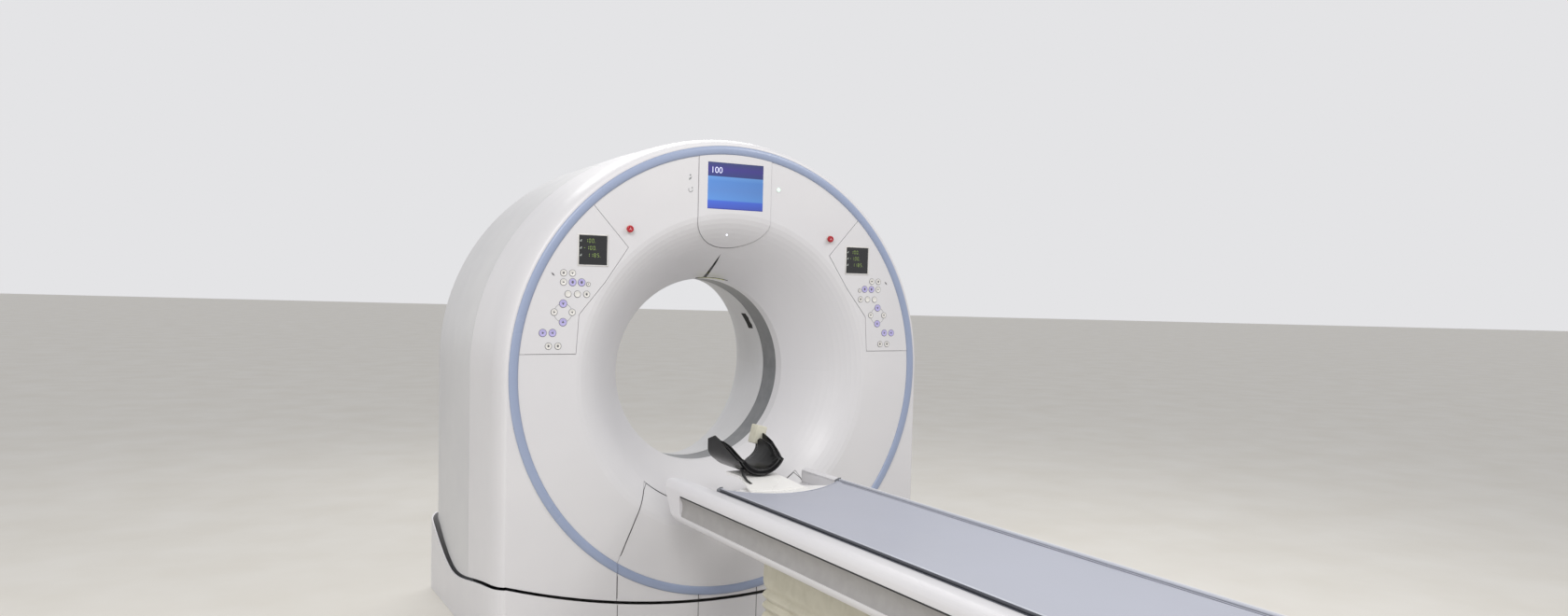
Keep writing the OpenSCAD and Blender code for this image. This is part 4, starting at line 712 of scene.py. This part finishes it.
def coated_cloth(name, colour, shade, roughness, weave):
    """Coated cloth: threads at a pitch in metres on all three axes, and soft creases whose hollows are
    painted darker as shade.
    """
    material, tree, shader = new_finish(name)
    place = add(tree, "TexCoord", {})["Object"]
    threads = None
    for axis in "XYZ":
        wave = add(tree, "TexWave", {"Vector": place, "Scale": WAVE / weave, "Distortion": 0.4},
                   bands_direction=axis)["Fac"]
        threads = wave if threads is None else add(tree, "Math", {0: threads, 1: wave},
                                                   operation="MULTIPLY")[0]
    creases = noise(tree, place, 16.0, 5.0, Distortion=0.8)
    # The colour follows the creases' height: their hollows are painted darker, as shade.
    tint = add(tree, "ValToRGB", {"Fac": creases}, ((0.32, shade), (0.62, colour)))
    folds = relief(tree, creases, 0.35, 0.006)
    bump = relief(tree, threads, 0.3, 0.0003, Normal=folds)
    feed(tree, shader, {"Base Color": tint["Color"], "Normal": bump, "Roughness": roughness,
                        "Sheen Weight": 0.15})
    return material


bellows_cloth = coated_cloth("Coated bellows cloth, cream", "#C6C2B1", "#BCB8A6", 0.62, 0.0012)
dress(["couch_plinth"], white_cover)
low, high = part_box("couch_bellows")
PLEATS, PLEAT_TOP, FOLD = 5, 0.372, 0.013
SETBACK, CORNER_R, CLOTH_T = 0.004, 0.035, 0.0012
half_x, half_y = (high.x - low.x) / 2 - SETBACK, (high.y - low.y) / 2 - SETBACK
mid_y = (low.y + high.y) / 2
pick_out()
bpy.ops.mesh.primitive_plane_add(size=1)
bellows = bpy.context.object
bellows.scale = (2 * half_x, 2 * half_y, 1)
bellows.location = (0, mid_y, low.z)
bpy.ops.object.transform_apply(location=True, scale=True)
bpy.ops.object.mode_set(mode="EDIT")
bpy.ops.mesh.bevel(offset=CORNER_R, segments=4, affect="VERTICES")
bpy.ops.mesh.delete(type="ONLY_FACE")
bpy.ops.mesh.select_all(action="SELECT")
bpy.ops.mesh.subdivide(number_cuts=15)
# Each ring round the cloth: its height, and how far in it is folded
rings = []
pitch = (PLEAT_TOP - low.z) / PLEATS
for pleat in range(PLEATS):
    rings += [(low.z + (pleat + share) * pitch, fold) for share, fold in (
        (0.25, 0.35), (0.46, 0.0), (0.54, 0.0), (0.75, 0.35), (0.96, 1.0), (1.04, 1.0))]
rings += [(PLEAT_TOP + 0.014, 0.3), (PLEAT_TOP + 0.03, 0.12), (PLEAT_TOP + 0.06, 0.2),
          (PLEAT_TOP + 0.095, 0.3), (high.z, 0.35)]
bpy.ops.transform.resize(value=((half_x - FOLD) / half_x, (half_y - FOLD) / half_y, 1),
                         center_override=(0, mid_y, low.z))
tall, inset = low.z, 1.0
for ring_z, ring_in in rings:
    bpy.ops.mesh.extrude_region_move(TRANSFORM_OT_translate={"value": (0, 0, ring_z - tall)})
    bpy.ops.transform.resize(value=((half_x - ring_in * FOLD) / (half_x - inset * FOLD),
                                    (half_y - ring_in * FOLD) / (half_y - inset * FOLD), 1),
                             center_override=(0, mid_y, ring_z))
    tall, inset = ring_z, ring_in
leave_edit()
# Hanging cloth is never quite even: shallow folds run down it, fading out at its clamped ends
for vertex in bellows.data.vertices:
    x, y, z = vertex.co
    free = math.sin(math.pi * (z - low.z) / (high.z - low.z))
    ripple = (0.0022 * math.sin(31 * y + 4 * z) + 0.0016 * math.sin(67 * y - 23 * x)
              + 0.0012 * math.sin(90 * x + 9 * z))
    push = min(free, 0.9) * (ripple - 0.0025)
    if abs(x) > half_x - 0.02:
        vertex.co.x += math.copysign(push, x)
    if abs(y - mid_y) > half_y - 0.02:
        vertex.co.y += math.copysign(push, y - mid_y)
for kind, settings in (("SUBSURF", {"levels": 1, "render_levels": 1}),
                       ("SOLIDIFY", {"thickness": CLOTH_T, "offset": -1})):
    step = bellows.modifiers.new(kind, kind)
    for key, value in settings.items():
        setattr(step, key, value)
    bpy.ops.object.modifier_apply(modifier=kind)
bpy.ops.object.shade_smooth()
bellows.name = bellows.data.name = "bellows_cloth"
bellows.data.materials.append(bellows_cloth)
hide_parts("couch_bellows")
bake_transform(bellows)

# Couch covers
# White side covers run the couch's length, each with a hollow grey strip under a black line that paints the
# joint's shade.
# The nose between their two horns is open on top, and the tail is closed.
dress(["left_side_cover", "right_side_cover", "nose_cover", "tail_cover"], white_cover)
dress(["side_insets"], moulded("Moulded strip, warm grey", "#9D9B9A", "#979594", 0.40, 0.0010))
dress(["slide_rails"], turned_metal("Ground slide rail steel", "#8E9094", "#808287", 0.22, 0.0009))
strip_low, strip_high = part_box("side_insets")
STEPS, COVER_SEAM_SHADE_R = 48, 0.0024
# Under each cover's top edge a black tube paints the shade at the joint.
for side, sign in SIDES:
    line = []
    for step in range(STEPS + 1):
        y = strip_low.y + 0.004 + (strip_high.y - strip_low.y - 0.012) * step / STEPS
        start = (sign * 0.6, y, strip_high.z + 0.0045)
        spot = nodes[side + "_side_cover"].ray_cast(start, (-sign, 0, 0))[1]
        line.append((spot.x + sign * 0.0002, y, strip_high.z + 0.0022))
    settle(tube(line, COVER_SEAM_SHADE_R), side + "_cover_seam_shade", "couch", seam_shade_black)


def extruded(corners, half):
    """A flat outline extruded by half its thickness to either side."""
    return meshed(curve_through([(across, along, 0) for across, along in corners], True,
                                dimensions="2D", fill_mode="BOTH", extrude=half))


# Inside each horn a white liner closes the cover's open channel: its outline from the side, y and z
LINER = ((0.300, 0.513), (0.480, 0.513), (0.530, 0.524), (0.558, 0.545), (0.574, 0.572), (0.583, 0.605),
         (0.586, 0.640), (0.583, 0.649), (0.300, 0.649))
LINER_X, LINER_T = 0.2652, 0.0030
for side, sign in SIDES:
    settle(extruded(LINER, LINER_T / 2), side + "_horn_liner", "couch", white_cover,
           (sign * LINER_X, 0, 0), (math.pi / 2, 0, math.pi / 2))

# Table top
# A white composite cradle with a tapered nose. Dark anodised rails run along both edges of the
# mattress, and grey caps close their front corners.


def anodised(name, colour, shade, roughness, lip, highlight_x):
    """Anodised extrusion: die lines along its length, and a paler band along its inner edge that paints a
    highlight on the lip.
    """
    material, tree, shader = new_finish(name)
    place = add(tree, "TexCoord", {})["Object"]
    drawn = add(tree, "Mapping", {"Vector": place, "Scale": (900, 3, 900)})
    lines = noise(tree, drawn["Vector"], 1.0, 2.0)
    tint = add(tree, "ValToRGB", {"Fac": lines}, ((0.3, shade), (0.7, colour)))
    # Towards the inner edge the lip's colour is a painted highlight.
    axes = add(tree, "SeparateXYZ", {"Vector": place})
    aside = add(tree, "Math", {0: axes["X"]}, operation="ABSOLUTE")
    inner = add(tree, "Math", {0: aside[0], 1: highlight_x}, operation="LESS_THAN")
    lip_highlighted = add(tree, "Mix", {"Factor": inner[0], "A": tint["Color"], "B": linear(lip)},
                 data_type="RGBA")
    gloss = add(tree, "MapRange", {"Value": lines, "To Min": roughness,
                                   "To Max": roughness + 0.15})
    feed(tree, shader, {"Base Color": lip_highlighted["Result"], "Roughness": gloss["Result"], "Metallic": 0.45})
    return material


dress(["cradle"], lacquer("Gel-coated carbon composite, white", "#ECEBEA", "#E5E4E3", 0.28))
# The pale colour is the painted highlight on the top of the rails' inner lip.
rail_grey = anodised("Anodised extrusion, dark grey", "#5E6067", "#53555C", 0.36, "#C4C7D0", 0.2572)
dress(["table_rails"], rail_grey)
# The rail's upper lip stands a finger's breadth over the covers: its outline across the rail, x and z
RAIL_LIP = ((0.2476, 0.6568), (0.2579, 0.6568), (0.2579, 0.6662), (0.2566, 0.6678), (0.2500, 0.6686),
            (0.2476, 0.6672))
low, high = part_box("table_rails")
for side, sign in SIDES:
    lip = extruded([(sign * x, z) for x, z in RAIL_LIP], (high.y - low.y) / 2 - 0.0005)
    settle(lip, side + "_rail_lip", "tabletop", rail_grey, (0, (low.y + high.y) / 2, 0), FACING)
dress(["corner_caps"], moulded("Moulded end cap, mid grey", "#7E8186", "#75787D", 0.42, 0.0010))

# Mattress
# A thin foam pad in grey-blue wipe-clean vinyl, blown up by the cloth solver with its underside
# held on the cradle. Its front edge is scooped, and a welt closes the top edge all round.


def vinyl(name, colour, shade, roughness, grain, specular=0.5):
    """Coated vinyl: pebbled grain of a stated size in metres, soft sagging patches painted darker in their
    dips as shade, and rubbed sheen.
    """
    material, tree, shader = new_finish(name)
    place = add(tree, "TexCoord", {})["Object"]
    patches = noise(tree, place, 3.5, 4.0)
    # The colour follows the sag's height: its dips are painted darker, as shade.
    tint = add(tree, "ValToRGB", {"Fac": patches}, ((0.3, shade), (0.7, colour)))
    pebbles = add(tree, "TexVoronoi", {"Vector": place, "Scale": 1 / grain}, feature="SMOOTH_F1")
    sag = relief(tree, patches, 0.25, 0.004)
    bump = relief(tree, pebbles["Distance"], 0.22, grain / 5, Normal=sag)
    rubbed = add(tree, "MapRange", {"Value": patches, "From Min": 0.35, "From Max": 0.65,
                                    "To Min": roughness - 0.05, "To Max": roughness + 0.06})
    feed(tree, shader, {"Base Color": tint["Color"], "Roughness": rubbed["Result"], "Normal": bump,
                        "Specular IOR Level": specular})
    return material


def merged_copy(node):
    """A copy of a CAD solid's mesh in one piece, ready to be shaped."""
    copy = bpy.data.objects.new(node + "_copy", nodes[node].data.copy())
    scene.collection.objects.link(copy)
    pick_out(copy)
    bpy.ops.object.mode_set(mode="EDIT")
    bpy.ops.mesh.select_all(action="SELECT")
    bpy.ops.mesh.remove_doubles(threshold=0.00001)
    leave_edit()
    if copy.data.has_custom_normals:
        bpy.ops.mesh.customdata_custom_splitnormals_clear()
    return copy


PRESSURE, FRAMES = 4, 20


def blown_pad(node, voxel, limit, held, height):
    """A padded copy of a CAD solid: remeshed, blown up with some points held, its swelling capped."""
    pad = merged_copy(node)
    pad.data.remesh_voxel_size = voxel
    bpy.ops.object.voxel_remesh()
    for vertex, z in [(vertex, height(vertex)) for vertex in pad.data.vertices]:
        vertex.co.z = z
    rest = [vertex.co.copy() for vertex in pad.data.vertices]
    group = pad.vertex_groups.new(name="held")
    group.add([vertex.index for vertex in pad.data.vertices if held(vertex)], 1.0, "REPLACE")
    cloth = pad.modifiers.new("cloth", "CLOTH")
    cloth.settings.vertex_group_mass = "held"
    cloth.settings.use_pressure = True
    cloth.settings.uniform_pressure_force = PRESSURE
    cloth.settings.effector_weights.gravity = 0
    for number in range(1, FRAMES + 1):
        scene.frame_set(number)
    bpy.ops.object.modifier_apply(modifier="cloth")
    scene.frame_set(1)
    for vertex, was in zip(pad.data.vertices, rest):
        moved = vertex.co - was
        if moved.length > limit:
            vertex.co = was + moved * (limit / moved.length)
    bpy.ops.object.shade_smooth()
    return pad


mattress_vinyl = vinyl("Wipe-clean vinyl, grey blue", "#AFB2BE", "#AAADB9", 0.42, 0.0016)
low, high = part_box("mattress")
HALF_W, SCOOP = high.x, 0.073
DIP, DISH_W = 0.015, 0.492
SCOOP_R = (HALF_W ** 2 + SCOOP ** 2) / (2 * SCOOP)
WELT_R, WELT_DROP = 0.0021, 0.0022


def dished_top(x):
    """Height of the mattress's dished top at a distance from the middle."""
    return high.z - DIP * (1 - (2 * x / DISH_W) ** 2)


def dished(vertex):
    """Height of a point of the mattress, with those by the top brought just under the dish."""
    top = dished_top(vertex.co.x)
    return top - 0.002 if vertex.co.z > top - 0.006 else vertex.co.z


mattress = blown_pad("mattress", voxel=0.009, limit=0.0030,
                     held=lambda vertex: vertex.normal.z < -0.3, height=dished)
settle(mattress, "mattress_pad", "tabletop", mattress_vinyl)
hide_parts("mattress")

front = [(x, high.y + SCOOP_R - SCOOP - math.sqrt(SCOOP_R ** 2 - x * x))
         for x in [HALF_W * (i / 12 - 1) for i in range(25)]]
outline = [(-HALF_W, low.y)] + front + [(HALF_W, low.y)]
welt = tube([(x, y, dished_top(x) - WELT_DROP) for x, y in outline], WELT_R, closed=True)
settle(welt, "mattress_welt", "tabletop", mattress_vinyl)

# Head holder
# A white neck plate carries a black cup, lined with a black padded cushion whose wings rise
# towards the crown. Piping binds the cushion's edges, and a foam block is strapped to one wing.
dress(["head_tongue"], lacquer("Gel-coated neck plate, bright white", "#F0EFEC", "#EEEDEA", 0.26))
cup_black = moulded("Moulded ABS, gloss black", "#0C0C0E", "#09090A", 0.22, 0.0009, specular=0.22)
cushion_vinyl = vinyl("Padded vinyl, black", "#0B0B0C", "#080809", 0.34, 0.0012, specular=0.22)
cup_low, cup_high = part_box("head_cup")
pad_low, pad_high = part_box("head_cushion")
CUP_AXIS = cup_low.z + (cup_high.x - cup_low.x) / 2
PAD_R = pad_high.x

# Along the cup, how far the wings' tops stand from its axis: as packed, and as worn in with use
WING_TOPS = ((0.465, -0.046, -0.046), (0.500, -0.032, -0.027), (0.535, -0.018, -0.011),
             (0.565, -0.0045, -0.002), (0.595, 0.009, 0.002), (0.635, 0.020, 0.001),
             (0.665, 0.022, -0.004), (0.695, 0.024, -0.013))
WORN_DEPTH = 0.080


def worn_in(y, z):
    """Height of a point of the cup once the wings' far ends have rounded off and settled."""
    base = CUP_AXIS - WORN_DEPTH
    if z <= base or y <= WING_TOPS[0][0]:
        return z
    for (y0, packed0, worn0), (y1, packed1, worn1) in zip(WING_TOPS, WING_TOPS[1:]):
        if y <= y1 or y1 == WING_TOPS[-1][0]:
            share = min((y - y0) / (y1 - y0), 1.0)
            packed, worn = packed0 + share * (packed1 - packed0), worn0 + share * (worn1 - worn0)
            return base + (z - base) * (worn + WORN_DEPTH) / (packed + WORN_DEPTH)


cup = merged_copy("head_cup")
for vertex in cup.data.vertices:
    vertex.co.z = worn_in(vertex.co.y, vertex.co.z)
bpy.ops.object.shade_smooth_by_angle(angle=math.radians(40))
settle(cup, "head_cup_shell", "tabletop", cup_black)
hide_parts("head_cup")
cushion = blown_pad(
    "head_cushion", voxel=0.0035, limit=0.0040,
    held=lambda vertex: math.hypot(vertex.co.x, min(vertex.co.z - CUP_AXIS, 0)) > PAD_R - 0.003,
    height=lambda vertex: worn_in(vertex.co.y, vertex.co.z))
smooth = cushion.modifiers.new("smooth", "SUBSURF")
smooth.levels = smooth.render_levels = 1
bpy.ops.object.modifier_apply(modifier="smooth")
settle(cushion, "head_cushion_pad", "tabletop", cushion_vinyl)
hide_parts("head_cushion")

# Height of the wings' top edge along the cup, from the neck to the crown: place along, height
WING_EDGE = ((0.0, -0.050), (0.028, -0.046), (0.070, -0.028), (0.098, -0.016), (0.130, -0.004),
             (0.158, 0.010), (0.188, 0.0195), (0.196, 0.018))


def under_axis(radius, y, x, rise):
    """Points round the underside of the cup at one place along it, from one wing to the other."""
    start = math.atan2(rise, x)
    turns = [start + (-math.pi - 2 * start) * i / 20 for i in range(1, 20)]
    return [Vector((radius * math.cos(a), y, CUP_AXIS + radius * math.sin(a))) for a in turns]


def cup_edge(radius, lift):
    """Points along one bound edge of the cushion: up one wing, round the neck rim, up the other."""
    wing = []
    for along, rise in WING_EDGE:
        x, y = math.sqrt(radius ** 2 - min(rise, 0) ** 2), pad_low.y + along
        wing.append(Vector((x, y, worn_in(y, CUP_AXIS + rise) + lift)))
    neck = under_axis(radius, pad_low.y, wing[0].x, wing[0].z - CUP_AXIS)
    other = [Vector((-point.x, point.y, point.z)) for point in wing]
    crown = under_axis(radius, wing[-1].y, wing[-1].x, min(wing[-1].z - CUP_AXIS, 0))
    return wing[::-1] + neck + other + crown[::-1]


PIPING_R = 0.0026
piping_vinyl = vinyl("Bound vinyl piping, black", "#18181A", "#121213", 0.24, 0.0010)
for name, radius in (("outer", PAD_R - 0.0020), ("inner", PAD_R - 0.0170)):
    piping = tube(cup_edge(radius, lift=0.001), PIPING_R, closed=True)
    settle(piping, "cushion_piping_" + name, "tabletop", piping_vinyl)


def strap(points, width, thickness):
    """A flat webbing strap laid along points, its width across the path and level."""
    section = curve_through([(x * width / 2, y * thickness / 2, 0) for x, y in CORNERS], True)
    path = curve_through(points, False, "NURBS", dimensions="3D", twist_mode="Z_UP", bevel_mode="OBJECT",
                         bevel_object=section, use_fill_caps=True)
    spline = path.data.splines[0]
    spline.use_endpoint_u = True
    spline.order_u = 3
    made = meshed(path)
    bpy.data.objects.remove(section)
    return made


webbing = coated_cloth("Nylon webbing, black", "#1B1B1D", "#121213", 0.55, 0.0011)
neck_strap = strap([(-0.066, 0.486, 0.7040), (-0.075, 0.462, 0.6960), (-0.084, 0.440, 0.6840),
                    (-0.086, 0.415, 0.6700), (-0.083, 0.392, 0.6600), (-0.080, 0.376, 0.6562)],
                   width=0.011, thickness=0.0026)
settle(neck_strap, "neck_strap", "tabletop", webbing)

foam = moulded("Sliced foam block, cream", "#DAD7C6", "#CDCAB8", 0.85, 0.0030)
BLOCK_SIZE, BLOCK_AT, BLOCK_LEAN = (0.046, 0.054, 0.076), (0.099, 0.666, 0.796), math.radians(14)
pick_out()
bpy.ops.mesh.primitive_cube_add(size=1)
block = bpy.context.object
block.scale = BLOCK_SIZE
bpy.ops.object.transform_apply(scale=True)
bpy.ops.object.mode_set(mode="EDIT")
bpy.ops.mesh.bevel(offset=0.004, segments=3, affect="EDGES")
bpy.ops.object.mode_set(mode="OBJECT")
bpy.ops.object.shade_smooth_by_angle(angle=math.radians(50))
settle(block, "side_foam_block", "tabletop", foam, BLOCK_AT, (0, BLOCK_LEAN, 0))
block_strap = strap([(0.112, 0.672, 0.812), (0.1235, 0.668, 0.808), (0.1285, 0.660, 0.792),
                     (0.126, 0.635, 0.768), (0.1185, 0.605, 0.748), (0.111, 0.580, 0.735),
                     (0.1035, 0.560, 0.722)], width=0.013, thickness=0.0030)
settle(block_strap, "block_strap", "tabletop", webbing)
